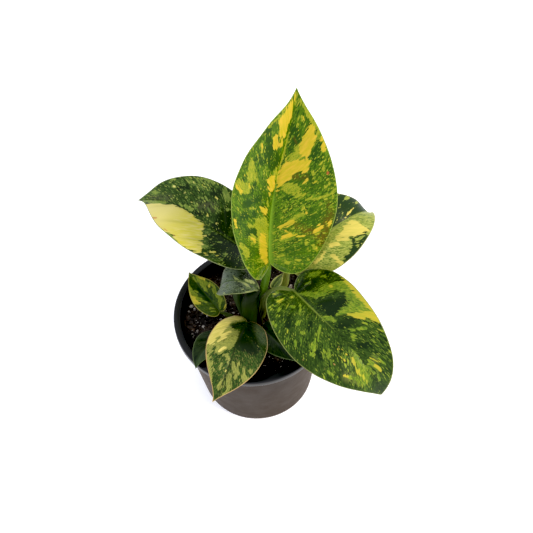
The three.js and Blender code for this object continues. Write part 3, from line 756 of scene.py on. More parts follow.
def leaf_lamina(name, palette, crowd, gloss=0.34, seed=0.0, grain=1.0, ripe=(200, 201)):
    """Living leaf blade, as it grew: waxy and smooth on top, duller and paler below. Its green is mottled,
    with islands of paler tissue that are drawn out along the side veins, and crowd is how many. Painted
    sectors of lime and yellow end in fingers along the veins. Yellow ripens to the second yellow between
    the two heights in ripe, and grain scales every pattern."""
    material = new_material(name)
    tint = {part: linear(value) for part, value in palette.items()}
    painted = {fact: add(material, "Attribute", attribute_name=fact).outputs["Fac"] for fact in PAINTED}
    vein = add(material, "UVMap", uv_map="vein")
    flat = add(material, "UVMap", uv_map="flat")
    clouds = {}
    for shift, (cloud, (length, width, detail)) in enumerate(CLOUDS.items()):
        space = add(material, "Mapping", {
            "Vector": vein, "Scale": (DECIMETRE / length / grain, DECIMETRE / width / grain, 1),
            "Location": (seed + 11 * shift, seed - 11 * shift, seed + 22 * shift)})
        clouds[cloud] = add(material, "TexNoise", {"Vector": space, "Scale": 1, "Detail": detail,
                                                   "Roughness": 0.55})

    # The green tissue, from dark to mid, with its blush and painted sheen: a brownish blush on some leaves,
    # and on others a painted grey sheen that stands in for reflected sky.
    in_dark = add(material, "MapRange", {0: painted["dark"], 1: -1.5, 2: 4},
                  interpolation_type="SMOOTHSTEP")
    in_fleck = add(material, "MapRange", {0: painted["flecks"], 1: -3, 2: 3},
                   interpolation_type="SMOOTHSTEP")
    ground = add(material, "Math", {0: clouds["slow"], 1: 0.7, 2: clouds["mottle"]},
                 operation="MULTIPLY_ADD")
    ground = add(material, "Math", {0: in_dark, 1: -0.2, 2: ground}, operation="MULTIPLY_ADD")
    ground = add(material, "MapRange", {0: ground, 1: 0.72, 2: 0.94})
    # One mark carries both the real blush and the painted sheen.
    blush_and_painted_sheen = add(material, "MapRange", {0: painted["blush_and_painted_sheen"], 1: -3, 2: 3, 4: 0.7},
                interpolation_type="SMOOTHSTEP")

    # The painted sectors, with their edges drawn out in fingers.
    sectors = {}
    for kind, spread, blur, most in (("dark", 4, 0.7, 0.85), ("lime", 4.5, 0.2, 1), ("yellow", 4, 0.2, 1)):
        moved = add(material, "Math", {0: clouds["fingers"], 1: 2 * spread * grain, 2: painted[kind]},
                    operation="MULTIPLY_ADD")
        edge = spread * grain
        sectors[kind] = add(material, "MapRange", {0: moved, 1: edge - blur, 2: edge + blur, 4: most},
                            interpolation_type="SMOOTHSTEP")
    shade = add(material, "MapRange", {0: clouds["mottle"], 1: 0.42, 2: 0.58})
    lime = add(material, "Mix", {0: shade, 6: tint["lime"], 7: tint["lime2"]}, data_type="RGBA")
    green = add(material, "MapRange", {0: clouds["skin"], 1: 0.45, 2: 0.4, 4: 0.5})
    lime = add(material, "Mix", {0: green, 6: lime, 7: tint["mid"]}, data_type="RGBA")
    layers = [(ground, tint["mid"]), (sectors["dark"], tint["deep"]), (blush_and_painted_sheen, tint["blush_and_painted_sheen"])]

    # The islands of pale tissue: each cell of a pattern holds one or none, of its own size and shade.
    room = add(material, "Math", {0: clouds["slow"], 1: 1.1, 2: crowd - 0.55}, operation="MULTIPLY_ADD")
    room = add(material, "Math", {0: in_fleck, 1: 0.2, 2: room}, operation="MULTIPLY_ADD")
    room = add(material, "Math", {0: in_dark, 1: -0.22, 2: room}, operation="MULTIPLY_ADD")
    for shift, (length, width, size, more, first, last) in enumerate(ISLANDS):
        space = add(material, "Mapping", {
            "Vector": vein, "Scale": (DECIMETRE / length / grain, DECIMETRE / width / grain, 1),
            "Location": (seed + 3.7 * shift, seed + 5.3 * shift, 0)})
        bent = add(material, "VectorMath", {0: clouds["mottle"].outputs["Color"], 1: (0.9, 0.9, 0),
                                            2: space}, operation="MULTIPLY_ADD")
        cell = add(material, "TexVoronoi", {"Vector": bent, "Scale": 1}, voronoi_dimensions="2D")
        chance = add(material, "SeparateColor", {0: cell.outputs["Color"]})
        filled = add(material, "Math", {0: chance.outputs[0], 1: room}, operation="ADD")
        radius = add(material, "MapRange", {0: filled, 1: 0.85 - more, 2: 1.3 - more, 3: -0.06, 4: size})
        inside = add(material, "Math", {0: radius, 1: cell.outputs["Distance"]}, operation="SUBTRACT")
        share = add(material, "MapRange", {0: inside, 1: -0.03, 2: 0.03}, interpolation_type="SMOOTHSTEP")
        shade = add(material, "MapRange", {0: chance.outputs[1], 1: 0.45, 2: 0.95})
        pale = add(material, "Mix", {0: shade, 6: tint[first], 7: tint[last]}, data_type="RGBA")
        layers.append((share, pale))
        if shift == 0:
            layers.append((sectors["lime"], lime))

    # Yellow, which ripens up the blade, and brown spots.
    height = add(material, "SeparateXYZ", {0: flat}).outputs["Y"]
    risen = add(material, "MapRange", {0: height, 1: ripe[0] / DECIMETRE, 2: ripe[1] / DECIMETRE})
    mixed = add(material, "MapRange", {0: clouds["fingers"], 1: 0.42, 2: 0.68})
    ripened = add(material, "Math", {0: risen, 1: mixed}, operation="MAXIMUM")
    yellow = add(material, "Mix", {0: ripened, 6: tint["yellow"], 7: tint["yellow2"]}, data_type="RGBA")
    spots = add(material, "MapRange", {0: painted["spots"], 1: -0.5, 2: 0.3, 4: 0.8})
    layers += [(sectors["yellow"], yellow), (spots, tint["spot"])]

    # Veins, the midrib's line, the thin pale margin, and the paler underside.
    veins = add(material, "Math", {0: painted["side_vein"], 1: 0.2}, operation="MULTIPLY")
    midrib = add(material, "MapRange", {0: painted["rib"], 1: 0.1, 2: 0.9, 4: 0.92})
    margin = add(material, "Math", {0: clouds["mottle"], 1: 0.5, 2: painted["rim"]},
                 operation="MULTIPLY_ADD")
    margin = add(material, "MapRange", {0: margin, 1: 0.95, 2: 0.45}, interpolation_type="SMOOTHSTEP")
    below = add(material, "Math", {0: painted["under"], 1: 0.55}, operation="MULTIPLY")
    layers += [(veins, tint["mid"]), (midrib, tint["rib"]), (margin, tint["rim"]), (below, tint["under"])]
    colour = tint["dark"]
    for share, layer in layers:
        colour = add(material, "Mix", {0: share, 6: colour, 7: layer}, data_type="RGBA")

    rough = add(material, "MapRange", {0: clouds["fingers"], 1: 0.3, 2: 0.7,
                                       3: gloss - 0.05, 4: gloss + 0.07})
    rough = add(material, "Math", {0: painted["under"], 1: 0.18, 2: rough}, operation="MULTIPLY_ADD")
    relief = add(material, "Math", {0: clouds["mottle"], 1: 0.6, 2: clouds["skin"]},
                 operation="MULTIPLY_ADD")
    bump = add(material, "Bump", {"Height": relief, "Distance": SKIN_RELIEF * MM, "Strength": 0.55})
    shader = add(material, "BsdfPrincipled", {"Base Color": colour, "Roughness": rough,
                                              "Specular IOR Level": 0.15, "Normal": bump})
    add(material, "OutputMaterial", {0: shader})
    return material


def petiole_skin(name, base, top, streak, gloss=0.38, rise=(0.05, 0.5)):
    """Living petiole: smooth and waxy, with lengthwise streaks. It turns from the base colour to the top
    one between the two lengths in rise, in decimetres."""
    material = new_material(name)
    round_and_along = add(material, "UVMap", uv_map="flat")
    space = add(material, "Mapping", {"Vector": round_and_along,
                                      "Scale": (STREAKS_ROUND, DECIMETRE / STREAK_LENGTH, 1)})
    grain = add(material, "TexNoise", {"Vector": space, "Scale": 1, "Detail": 4})
    along = add(material, "SeparateXYZ", {0: round_and_along}).outputs["Y"]
    risen = add(material, "MapRange", {"Value": along, 1: rise[0], 2: rise[1]})
    ground = add(material, "Mix", {0: risen, 6: linear(base), 7: linear(top)}, data_type="RGBA")
    share = add(material, "MapRange", {"Value": grain, 1: 0.5, 2: 0.66, 4: 0.7})
    colour = add(material, "Mix", {0: share, 6: ground, 7: linear(streak)}, data_type="RGBA")
    bump = add(material, "Bump", {"Height": grain, "Distance": SKIN_RELIEF * MM})
    shader = add(material, "BsdfPrincipled", {"Base Color": colour, "Roughness": gloss,
                                              "Specular IOR Level": 0.12, "Normal": bump})
    add(material, "OutputMaterial", {0: shader})
    return material


def grow_leaf(name, leaf, lamina, skin=None):
    """One leaf as one piece: its blade, and its petiole run on under the blade's base."""
    places, faces, facts = blade(leaf)
    slots = [0] * len(faces)
    if skin:
        midrib, ways = bezier(leaf["midrib"], np.array([0.0, 1.0]))
        tangent = ways[0]
        up = np.array(leaf["face"][0], float)
        up = up - up.dot(tangent) * tangent
        up = up / np.linalg.norm(up)
        end = leaf["petiole"][-1][1]
        joint = midrib[0] - up * end * 0.7
        run_out = midrib[0] + tangent * PETIOLE_RUN_ON - up * end * 0.5
        path = leaf["petiole"] + [(tuple(joint), end * 0.85), (tuple(run_out), end * 0.45)]
        tube_places, tube_faces, tube_map = stalk(path, PETIOLE_SIDES, petiole_section, up=up)
        start = len(places)
        places = np.vstack([places, tube_places])
        faces = faces + [tuple(start + i for i in face) for face in tube_faces]
        slots = slots + [1] * len(tube_faces)
        for fact, values in facts.items():
            more = np.array(tube_map) if values.shape[1] == 2 else np.zeros((len(tube_places), 1))
            facts[fact] = np.vstack([values, more])
    piece = mesh_piece(name, places, faces, [lamina] + ([skin] if skin else []), slots)
    mesh = piece.data
    corners = np.zeros(len(mesh.loops), np.int64)
    mesh.loops.foreach_get("vertex_index", corners)
    for fact, values in facts.items():
        values = values.astype(np.float32)
        if values.shape[1] == 2:
            mesh.uv_layers.new(name=fact).uv.foreach_set("vector", values[corners].ravel())
        else:
            mesh.attributes.new(fact, "FLOAT", "POINT").data.foreach_set("value", values[:, 0])
    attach(piece, "root")
    return piece


TALL_LEAF = {
    "grid": (170, 44),
    "drip": 3.4,
    "wave": 0.25,
    "rib_end": 0.55,
    "rib_line": 2.4,
    "midrib": [(15.5, 5, 147.5), (18.5, 45.5, 184.5), (38, 55.5, 215), (43.5, 78, 235.5)],
    "face": [(0.4, 0.16, 0.9), (0.26, -0.76, 0.6)],
    "fold": 28.5,
    "droop": 5.5,
    "half_width": (41, 43.5),
    "widest": 0.36,
    "lobe": (0.22, 0.22),
    "swell": (0.24, 0.35),
    "taper": (0.08, 0.1),
    "petiole": [
        ((2.3, 1.3, 91.6), 3.1), ((3.4, 1.1, 99), 3.1), ((5.8, 0.2, 108), 3), ((8.8, -0.7, 120), 2.9),
        ((11, -0.3, 131.5), 2.8), ((13, 2.2, 140), 2.7),
    ],
    "strokes": {
        "yellow": [
            (-1, 116, -4, 108, 0.6, 2.4), (-4.5, 107, -6.5, 99, 3, 4.3), (-6.5, 99, -6, 92, 4.3, 3.8),
            (-11.5, 88, -9, 81.5, 1.6, 2), (-5, 88, -4, 82, 1.2, 0.9), (-23, 84, -22, 81, 0.6, 0.5),
            (8.5, 18, 14.5, 20.5, 0.8, 1.2), (32.4, 10.5, 33, 8.5, 0.5, 0.4),
            (13.5, 100, 14.2, 91, 1.4, 4.6), (14.2, 91, 13.2, 83, 4.6, 3.8), (17.5, 77, 16.5, 71, 2, 2.8),
            (14, 73, 7, 69, 4, 4.2), (6, 68, 4, 62, 4.6, 4.2), (3.5, 62, 2.2, 54.5, 4, 1.6),
            (2, 56, 1.4, 51, 1.6, 0.8), (22, 95, 25.5, 87, 1.1, 1.5), (-6.5, 59, -4, 54, 3.2, 3),
            (-5, 49.5, -4.5, 48, 1.3, 1.1), (-12.5, 40.5, -7.8, 37.2, 0.9, 2.8),
            (-9, 19, -8.5, 10, 3.6, 4.8), (-8.5, 10, -5.5, 2.5, 4.8, 2.4), (-37, 56, -33, 52.5, 1.2, 1),
            (-21.5, 20.5, -18, 18.5, 1.2, 1.4), (7, 25.5, 15, 31, 1.3, 1.5), (20, 64, 18.5, 60, 0.7, 1.1),
            (34.5, 28, 31, 23.5, 1.9, 1.5), (18.5, 19.5, 24, 20, 0.7, 0.7), (40.6, 33, 40, 29, 1.2, 0.9),
            (-38, 34, -37, 30, 1.4, 1.2), (7, 104, 8, 102, 0.6, 0.5), (22, 42, 24, 38, 0.6, 0.7),
            (11, 23, 14, 22, 0.8, 0.5),
        ],
        "lime": [
            (12, 84, 8, 74, 4.4, 3.4), (4, 76.5, 8, 80, 0.6, 1), (16, 103, 21, 94, 2.4, 2),
            (-28.5, 74, -27, 66, 1, 3.2), (-27, 66, -25, 62, 3.4, 4.2), (-35.5, 57, -28, 54.5, 3.6, 3.4),
            (-3.5, 66, -3, 60, 1.6, 2.4), (-15, 30, -8, 28, 3.6, 5.4), (-9, 26, -8, 15, 7, 6.4),
            (-22, 21.5, -18, 19, 2.4, 2.4), (-34.5, 17.5, -28.5, 11.5, 2.4, 3),
            (-24, 30, -20, 28.5, 1.3, 1), (-17, 5, -9, 3, 0.8, 1.6), (12, 29, 21, 37.5, 2, 1),
            (8, 17.5, 15, 20.5, 1.6, 2.2), (7, 55, 12.5, 54.5, 3, 4.2), (14.5, 50, 17.5, 50.5, 1.8, 1.6),
            (4, 99, 5, 97, 1, 1), (6, 104, 7.5, 101, 0.8, 0.8), (6, 4.5, 10, 5.5, 0.8, 0.8),
            (-24, 41, -18, 40, 0.5, 0.5), (-23.5, 84, -21, 79, 1, 0.8), (-4.5, 110, -11, 99, 1.2, 2.4),
            (18.5, 1.2, 21, 0.8, 0.9, 0.8), (32.2, 11, 33, 7.5, 1.2, 1.1), (25.5, 14.5, 26, 13, 1.2, 1),
            (11, 0.5, 13, -0.5, 1.1, 1), (33, 62, 33.4, 60, 0.9, 0.8), (22, 71, 24, 66, 1, 0.8),
            (28, 77, 29, 73, 1, 0.9), (31, 52, 36, 56, 1, 1.2), (22, 49, 27, 52, 0.9, 0.9),
            (-20, 60, -18, 58, 0.9, 0.7), (30, 13, 32, 9, 1, 0.9), (0, 92, 0, 58, 0.6, 0.9),
            (0, 118, 0.4, 111, 1.2, 1.4), (-6, 44, -5, 41, 1.1, 1.2), (27, 50, 30, 52, 0.8, 0.9),
            (31, 46, 33, 48, 0.7, 0.8), (33, 68, 36, 64, 0.8, 0.9), (38, 60, 39, 54, 0.8, 0.9),
            (3, 114, 9.4, 106.6, 0.7, 1), (9.4, 106.6, 15.2, 100.4, 1, 1.5),
            (-4, 112, -9.8, 105.8, 0.5, 0.9), (-12, 102.6, -20, 94.6, 0.8, 0.9),
        ],
        "dark": [
            (-15, 78, -6, 70, 5.5, 5.5), (-21, 93, -17, 86, 3.4, 2.6), (3, 95, 6, 88, 2.6, 3.4),
            (22, 90, 20.5, 80, 2.6, 2.6), (8, 46, 14, 51, 2.4, 1.6), (9, 39, 13, 42, 2.4, 2.4),
            (-28, 44, -14, 47, 2.4, 2.2), (-26, 24, -20, 25, 2.6, 2.4), (-18, 22, -15, 25, 2, 2),
            (22, 66, 24, 62, 2, 1.6), (2.5, 84, 5, 79, 1.4, 1.4), (-31, 36, -19, 36.5, 2.6, 2.6),
            (-24, 74, -17, 73, 2.4, 3.2), (-22, 56, -24, 52, 1.8, 1.8), (13, 14, 20, 17, 1.8, 1.4),
            (-30, 62, -33, 60, 1.6, 1.4),
        ],
        "blush_and_painted_sheen": [
            (39, 36, 36, 14, 3, 3.5), (18, 27, 35, 21, 2.5, 4.5), (11, 64, 18, 66, 2, 1.5),
            (4, 90, 7, 86, 0.5, 0.5), (37, 50, 40, 40, 1.5, 2),
        ],
        "spots": [(32, 73, 32, 72, 0.9, 0.9)],
        "flecks": [
            (14, 40, 34, 50, 8, 10), (20, 72, 28, 88, 5, 5), (8, 12, 26, 24, 8, 8),
            (-26, -2, -8, -3, 8, 6), (30, 68, 38, 54, 7, 7),
        ],
    },
}
TALL_PALETTE = {
    "deep": "#1f3f02", "dark": "#2b4b02", "mid": "#466603", "fleck": "#5a7712", "fleck2": "#959827",
    "lime": "#7e891b", "lime2": "#939523", "yellow": "#ac9d1f", "yellow2": "#c0a230",
    "blush_and_painted_sheen": "#5a4402", "spot": "#a65529", "rib": "#68891f", "rim": "#7f923b", "under": "#5e7744",
}
tall_leaf = grow_leaf(
    "leaf_tall_blade", TALL_LEAF,
    leaf_lamina("tall_leaf_lamina", TALL_PALETTE, crowd=0.32, seed=1),
    petiole_skin("tall_leaf_petiole", "#3a561a", "#486418", "#6c8826", rise=(0.3, 0.6)))
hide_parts("leaf_tall")

# Left leaf
# An older leaf, very dark green and finely flecked, with one cream sector from the midrib to the margin
# that runs to the tip. It leans out over the rim on a petiole that bends under the tall leaf.

LEFT_LEAF = {
    "grid": (150, 36),
    "drip": 3,
    "rib_end": 0.3,
    "rib_line": 0.7,
    "phase": 1.1,
    "midrib": [(-0.5, 26, 138), (-27, 31, 162), (-44, 60, 164.5), (-72, 73.5, 143.5)],
    "face": [(0.14, -0.2, 0.97), (-0.08, -0.24, 0.97)],
    "fold": 22,
    "droop": 6,
    "half_width": (27.5, 29.5),
    "widest": 0.35,
    "lobe": (0.18, 0.23),
    "swell": (0.2, 0.32),
    "taper": (0.06, 0.14),
    "petiole": [
        ((-4.4, 0.8, 79), 2.8), ((-6, 0.8, 93), 3.1), ((-7.8, 0.6, 107), 3.3), ((-9, 1.2, 118), 3.3),
        ((-8, 8, 127), 2.8), ((-4.6, 17.5, 134), 2.5),
    ],
    "strokes": {
        "yellow": [
            (-7.5, 84, -10, 74, 2, 5), (-10.5, 72, -12, 60, 6.5, 10.5), (-12, 58, -12, 47, 12, 12.6),
            (-13.5, 45, -16, 38, 11, 9), (-8, 48, -2.5, 37, 6.5, 1.4), (-22.5, 36, -22.5, 29, 6, 3.5),
            (-13, 36, -3.4, 35.4, 5.6, 2.6), (-19, 33, -18, 29.4, 3, 2.2), (-14.5, 32, -10, 33, 4, 2.6),
            (-23, 23.4, -22, 22.4, 0.9, 0.7), (-19, 21, -17, 19, 0.9, 0.8), (5, 35.4, 7, 36, 0.7, 0.6),
            (4, 27.4, 5, 27, 0.5, 0.5), (-10, 29, -9, 28.4, 0.5, 0.5), (12, 66.4, 12.4, 65.6, 0.6, 0.6),
            (19, 38, 19, 36, 0.5, 0.5), (20, 56, 20, 55, 0.6, 0.7), (10.6, 57.4, 10.8, 56.8, 0.5, 0.5),
            (7.4, 50, 7.6, 49, 0.4, 0.4),
        ],
        "lime": [
            (-2, 90, -4, 80, 1.1, 1.6), (-3.8, 80, -2, 68, 1.7, 1.6), (-4, 88, -8, 83.6, 1.1, 1.2),
            (-25.5, 46, -26, 41, 1.2, 1.4), (-24.4, 54, -25, 50, 0.8, 1), (26, 52, 27, 43, 0.9, 1.2),
            (28, 36, 23, 31, 1.4, 2.4), (5, 82, 5.2, 78, 0.8, 1), (11.6, 66.8, 12.6, 65.6, 1.2, 1),
            (16, 70, 17, 68, 0.8, 0.9), (19.8, 57, 20, 54, 0.9, 1), (-15, 14, -14, 12, 0.8, 0.8),
            (-8, 20, -7, 18, 0.7, 0.7), (6, 47, 7, 45, 0.7, 0.7), (13, 47, 14, 44, 0.7, 0.8),
            (-19, 68, -16, 74, 0.6, 0.6), (2, 57, 3, 47, 0.9, 1.2), (16, 27, 19, 23, 0.9, 0.9),
            (-19, 27, -17, 24.6, 1.5, 1.1),
        ],
        "dark": [
            (4, 23, 13, 25, 6, 5), (-7, 18, -16, 10, 9, 8), (2, 10, -4, 6, 8, 8),
            (20, 40, 24, 37, 2.4, 2.4), (2.4, 44, 4, 40, 1.6, 1.8), (12, 62, 15, 58, 1.8, 1.8),
        ],
        # A purple-grey blush beside the upper midrib, and a painted grey sheen on the dark half.
        "blush_and_painted_sheen": [(0.5, 84, 3.5, 66, 1.5, 2), (8, 44, 13, 36, 3, 3.5)],
        "spots": [
            (-18.2, 66, -17.4, 63, 0.7, 0.8), (-22.8, 54, -23.6, 48, 0.3, 0.4),
            (-23.8, 44, -24.2, 42, 0.3, 0.3),
        ],
        "flecks": [(8, 42, 14, 34, 6, 6), (-18, 20, -20, 14, 4, 3), (20, 60, 22, 50, 5, 5)],
    },
}
LEFT_PALETTE = {
    "deep": "#0f2102", "dark": "#1e3404", "mid": "#3a531a", "fleck": "#5a712e", "fleck2": "#9ea649",
    "lime": "#647c2c", "lime2": "#859342", "yellow": "#bdb43c", "yellow2": "#cabf6d",
    "blush_and_painted_sheen": "#4d4f32", "spot": "#b07a42", "rib": "#667f30", "rim": "#838c5e", "under": "#677a4b",
}
left_leaf = grow_leaf(
    "leaf_left_blade", LEFT_LEAF,
    leaf_lamina("left_leaf_lamina", LEFT_PALETTE, crowd=0.27, seed=4, ripe=(42, 60)),
    petiole_skin("left_leaf_petiole", "#34442a", "#2c3a1e", "#3e5028", gloss=0.5))
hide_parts("leaf_left")

# Back leaf
# A leaf split by its midrib into a dark half and a pale green half with cream bars. It leans out to the
# right behind the tall leaf, and its tip curls down.

BACK_LEAF = {
    "grid": (130, 32),
    "phase": 2.3,
    "midrib": [(31.5, 16.5, 134.5), (57.5, 19.5, 156), (83.5, 36, 162), (91.5, 45, 137.5)],
    "face": [(0.03, -0.51, 0.86), (-0.33, -0.25, 0.91)],
    "fold": 15,
    "droop": 8.5,
    "half_width": (26, 26),
    "widest": 0.36,
    "lobe": (0.16, 0.2),
    "swell": (0.2, 0.31),
    "taper": (0.08, 0.12),
    "petiole": [
        ((6.6, 1.3, 79), 2.5), ((8.6, 1.9, 90), 2.6), ((13.5, 3.6, 97), 2.5), ((19, 5.5, 104), 2.4),
        ((25.3, 7.8, 113.5), 2.5), ((27.8, 11.2, 125), 2.3),
    ],
    "strokes": {
        "yellow": [
            (5, 50, 11.4, 49.6, 2.8, 4.2), (12, 53, 16, 54, 1.2, 1), (6.4, 45, 12, 45, 3.4, 3),
            (12, 40.6, 9.6, 35, 1.8, 1.2), (12, 33, 9.6, 28.4, 1.7, 1.2), (8.6, 42, 7.6, 36.6, 2.2, 1.8),
            (16, 26.4, 24, 28, 1.1, 1.4), (10.8, 23, 11.6, 20, 1, 0.7),
            (-5.4, 57.4, -2.6, 50.4, 0.5, 0.8), (-1.8, 48.4, -1.6, 47.6, 0.5, 0.4),
            (6, 16, 8, 10, 1, 1.4), (13, 20, 13, 14, 1, 1.2),
        ],
        "lime": [
            (4, 72, 7.4, 58, 4, 8), (7.2, 57, 6.6, 38, 7.2, 7), (15, 59, 18.6, 53.4, 3, 1.4),
            (11, 31, 12, 8, 11.5, 11), (20.6, 25.6, 20, 18, 5.6, 6), (17.8, 47.4, 17.2, 44, 1.2, 1),
            (18.6, 39, 19.6, 38, 1.5, 1.3), (20, 43, 21.6, 42, 0.9, 0.8),
            (-13.6, 59, -13.4, 56.4, 1.1, 1.1), (-8.4, 65, -8, 61.6, 0.8, 0.7),
            (-11, 50.4, -10.8, 49.6, 0.7, 0.6),
        ],
        "dark": [(-6, 60, -12, 30, 10, 14), (18.6, 49, 21, 35, 4.4, 5)],
        "flecks": [(12, 30, 14, 12, 9, 9)],
    },
}
BACK_PALETTE = {
    "deep": "#1a3110", "dark": "#273c04", "mid": "#425918", "fleck": "#5b7027", "fleck2": "#a5a64f",
    "lime": "#7b8933", "lime2": "#9ea449", "yellow": "#cbbb58", "yellow2": "#bbb14f",
    "blush_and_painted_sheen": "#7d592b", "spot": "#a87d3e", "rib": "#7d8a37", "rim": "#9f9f62", "under": "#627d47",
}
back_leaf = grow_leaf(
    "leaf_back_blade", BACK_LEAF,
    leaf_lamina("back_leaf_lamina", BACK_PALETTE, crowd=0.24, seed=7),
    petiole_skin("back_leaf_petiole", "#5c6a28", "#66702c", "#7c5c2c"))
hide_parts("leaf_back")

# Front leaf
# The largest lower leaf: dark green and densely flecked with lime, with a lime and yellow sector on one
# side of the midrib. It hangs over the rim from a petiole that arches out of the crown.

FRONT_LEAF = {
    "grid": (165, 38),
    "rib_end": 0.5,
    "rib_line": 0.75,
    "phase": 0.4,
    "midrib": [(30.5, -11, 134), (47.5, -46, 148), (73.5, -75, 143), (80.5, -82, 107.5)],
    "face": [(0.25, -0.63, 0.73), (0.02, -0.92, 0.37)],
    "fold": 19,
    "droop": 7.5,
    "half_width": (31.5, 33),
    "widest": 0.37,
    "lobe": (0.17, 0.24),
    "swell": (0.22, 0.3),
    "taper": (0.09, 0.09),
    "petiole": [
        ((4.8, -3.8, 79), 2.5), ((5.4, -4.2, 92), 2.6), ((7.3, -5.4, 107), 2.5),
        ((9.4, -6.1, 120.5), 2.3), ((14.5, -6.9, 129.6), 1.9), ((22, -8, 134), 1.8),
    ],
    "strokes": {
        "yellow": [
            (-27.5, 60, -26.5, 56, 1.2, 3), (-26, 55, -19.5, 49.5, 3.2, 1.2),
            (-19.5, 49, -12, 44, 1.6, 0.4), (-30.6, 57, -30.6, 46, 2, 2.5),
            (-30.6, 46, -30.4, 26, 2.5, 1.6), (3.6, 65, 6.8, 76, 0.6, 1.2), (6.8, 78, 6.4, 80, 0.6, 0.5),
            (-7.4, 83.4, -6, 79, 0.8, 1.2), (-10, 78, -6, 73, 0.6, 0.6), (11.5, 3.6, 15, 3.6, 0.7, 1),
            (14, 74, 15, 72, 0.9, 0.8), (-20.5, 24, -19.5, 22.5, 0.9, 0.9), (5.3, 58, 5.6, 57, 0.6, 0.5),
            (6.6, 56, 7.4, 55.6, 0.5, 0.4), (8.8, 64.4, 9, 63, 0.6, 0.5), (9.2, 60.8, 9.6, 60, 0.6, 0.4),
            (5.2, 62.4, 5, 61.4, 0.5, 0.4), (4.6, 4.8, 5.4, 5, 0.6, 0.5),
            (13.2, -3.6, 13.8, -4.2, 0.6, 0.6),
        ],
        "lime": [
            (-27, 51, -22, 46, 5.5, 4.6), (-28, 43, -26, 38, 4, 3.4), (-21, 45, -9, 39.6, 3.6, 0.7),
            (-30, 35, -25, 30, 3.5, 4), (-24, 28, -17, 22, 3, 3), (-13, 23, -2, 6, 1.9, 0.8),
            (-8, 20, -1, 5, 1, 0.6), (-22.5, 15, -20.5, 11, 0.9, 1), (-20, 6, -16, 1, 1.8, 2.4),
            (-5, 40, -1, 32, 1.8, 1), (5, 36.4, 10, 40, 0.7, 1.3), (10, 40, 18, 43.6, 1.4, 2.2),
            (22, 47.6, 22.4, 46.4, 1.1, 1.2), (13, 24, 15, 24.6, 1.1, 1.4),
            (16, 32.6, 17.4, 31.6, 1.1, 1), (-0.6, 63, 4, 76, 1.4, 3), (4, 76, 6, 84, 3, 2.4),
            (-7, 57.4, -6.6, 56.4, 2, 1.8), (-17, 58, -9, 53, 0.9, 1), (10, 80, 14, 74, 1.4, 1.2),
            (11, -5, 14, -4, 1.4, 1.2), (9, 12.4, 10, 11.4, 1.3, 1.1), (27, 17, 27.4, 14, 1, 1.2),
            (17, 9, 19, 10, 1.1, 0.8), (3.6, 4.6, 6, 5, 1, 0.8), (11, 3.6, 15, 3.6, 1.3, 1.5),
            (-12, 6, -9, 4, 0.9, 0.7), (4, 14, 9, 20, 0.5, 0.9), (24, 33, 26, 35, 0.8, 1),
            (12, 52, 15.6, 56, 0.7, 1), (-3, 90, -4, 86, 0.9, 0.9), (21, 66, 22, 62, 1, 0.8),
            (-12, 80, -11, 76, 0.9, 1), (-18, 21, -13, 17.6, 2.2, 1.4), (-29.6, 15, -25, 3, 1.3, 1.8),
            (-7, 82, -4, 75, 1.6, 1.4), (-1.6, 84, -1, 77, 1, 1), (8, 86, 9, 81, 1, 1.6),
            (18, 5.6, 20, 4.6, 0.9, 0.8),
        ],
        "dark": [
            (-20, 37, -8, 35, 3.4, 4.6), (-12, 32, -6, 26, 4.6, 3.2), (-11.6, 8, -6, 2, 5, 5),
            (-14, 50, -5, 46, 2.4, 2.6), (-24, 12, -22, 17, 2.4, 2.6), (8, 30, 12, 33, 1.4, 1.8),
            (16, 18, 21, 22, 2, 2), (-12, 66, -6, 63, 2, 2), (19, 52, 18.4, 48, 1.6, 1.6),
        ],
        # Muted olive patches near the tip: partly painted highlight, where the blade's gloss shows as a pale
        # haze.
        "blush_and_painted_sheen": [(9, 84, 14, 74, 2.4, 2.8), (-6, 77, -9, 74, 1.5, 1.5)],
        "spots": [
            (15.5, 61.8, 15.7, 61.2, 0.6, 0.6), (22, 59.8, 22.2, 59.2, 0.5, 0.5),
            (29, 45.8, 29.2, 45, 0.5, 0.5), (5.4, 55.2, 5.6, 54.8, 0.4, 0.4),
        ],
        "flecks": [
            (6, 60, 12, 56, 7, 8), (24, 30, 24, 40, 7, 7), (8, 2, 20, 10, 6, 6), (-16, 76, -20, 66, 6, 6),
            (2, 84, 10, 80, 5, 6),
        ],
    },
}
FRONT_PALETTE = {
    "deep": "#0a2002", "dark": "#1a3002", "mid": "#324a10", "fleck": "#4c641a", "fleck2": "#7b8a2a",
    "lime": "#5a771c", "lime2": "#809124", "yellow": "#a2a02a", "yellow2": "#b5a22e",
    "blush_and_painted_sheen": "#6b7234", "spot": "#a57b46", "rib": "#748532", "rim": "#7b8346", "under": "#58723d",
}
# The petiole is near black at its foot: painted shade deep in the crown.
front_leaf = grow_leaf(
    "leaf_front_blade", FRONT_LEAF,
    leaf_lamina("front_leaf_lamina", FRONT_PALETTE, crowd=0.22, seed=2),
    petiole_skin("front_leaf_petiole", "#181c10", "#526028", "#6a703e", rise=(0.26, 0.6)))
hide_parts("leaf_front")
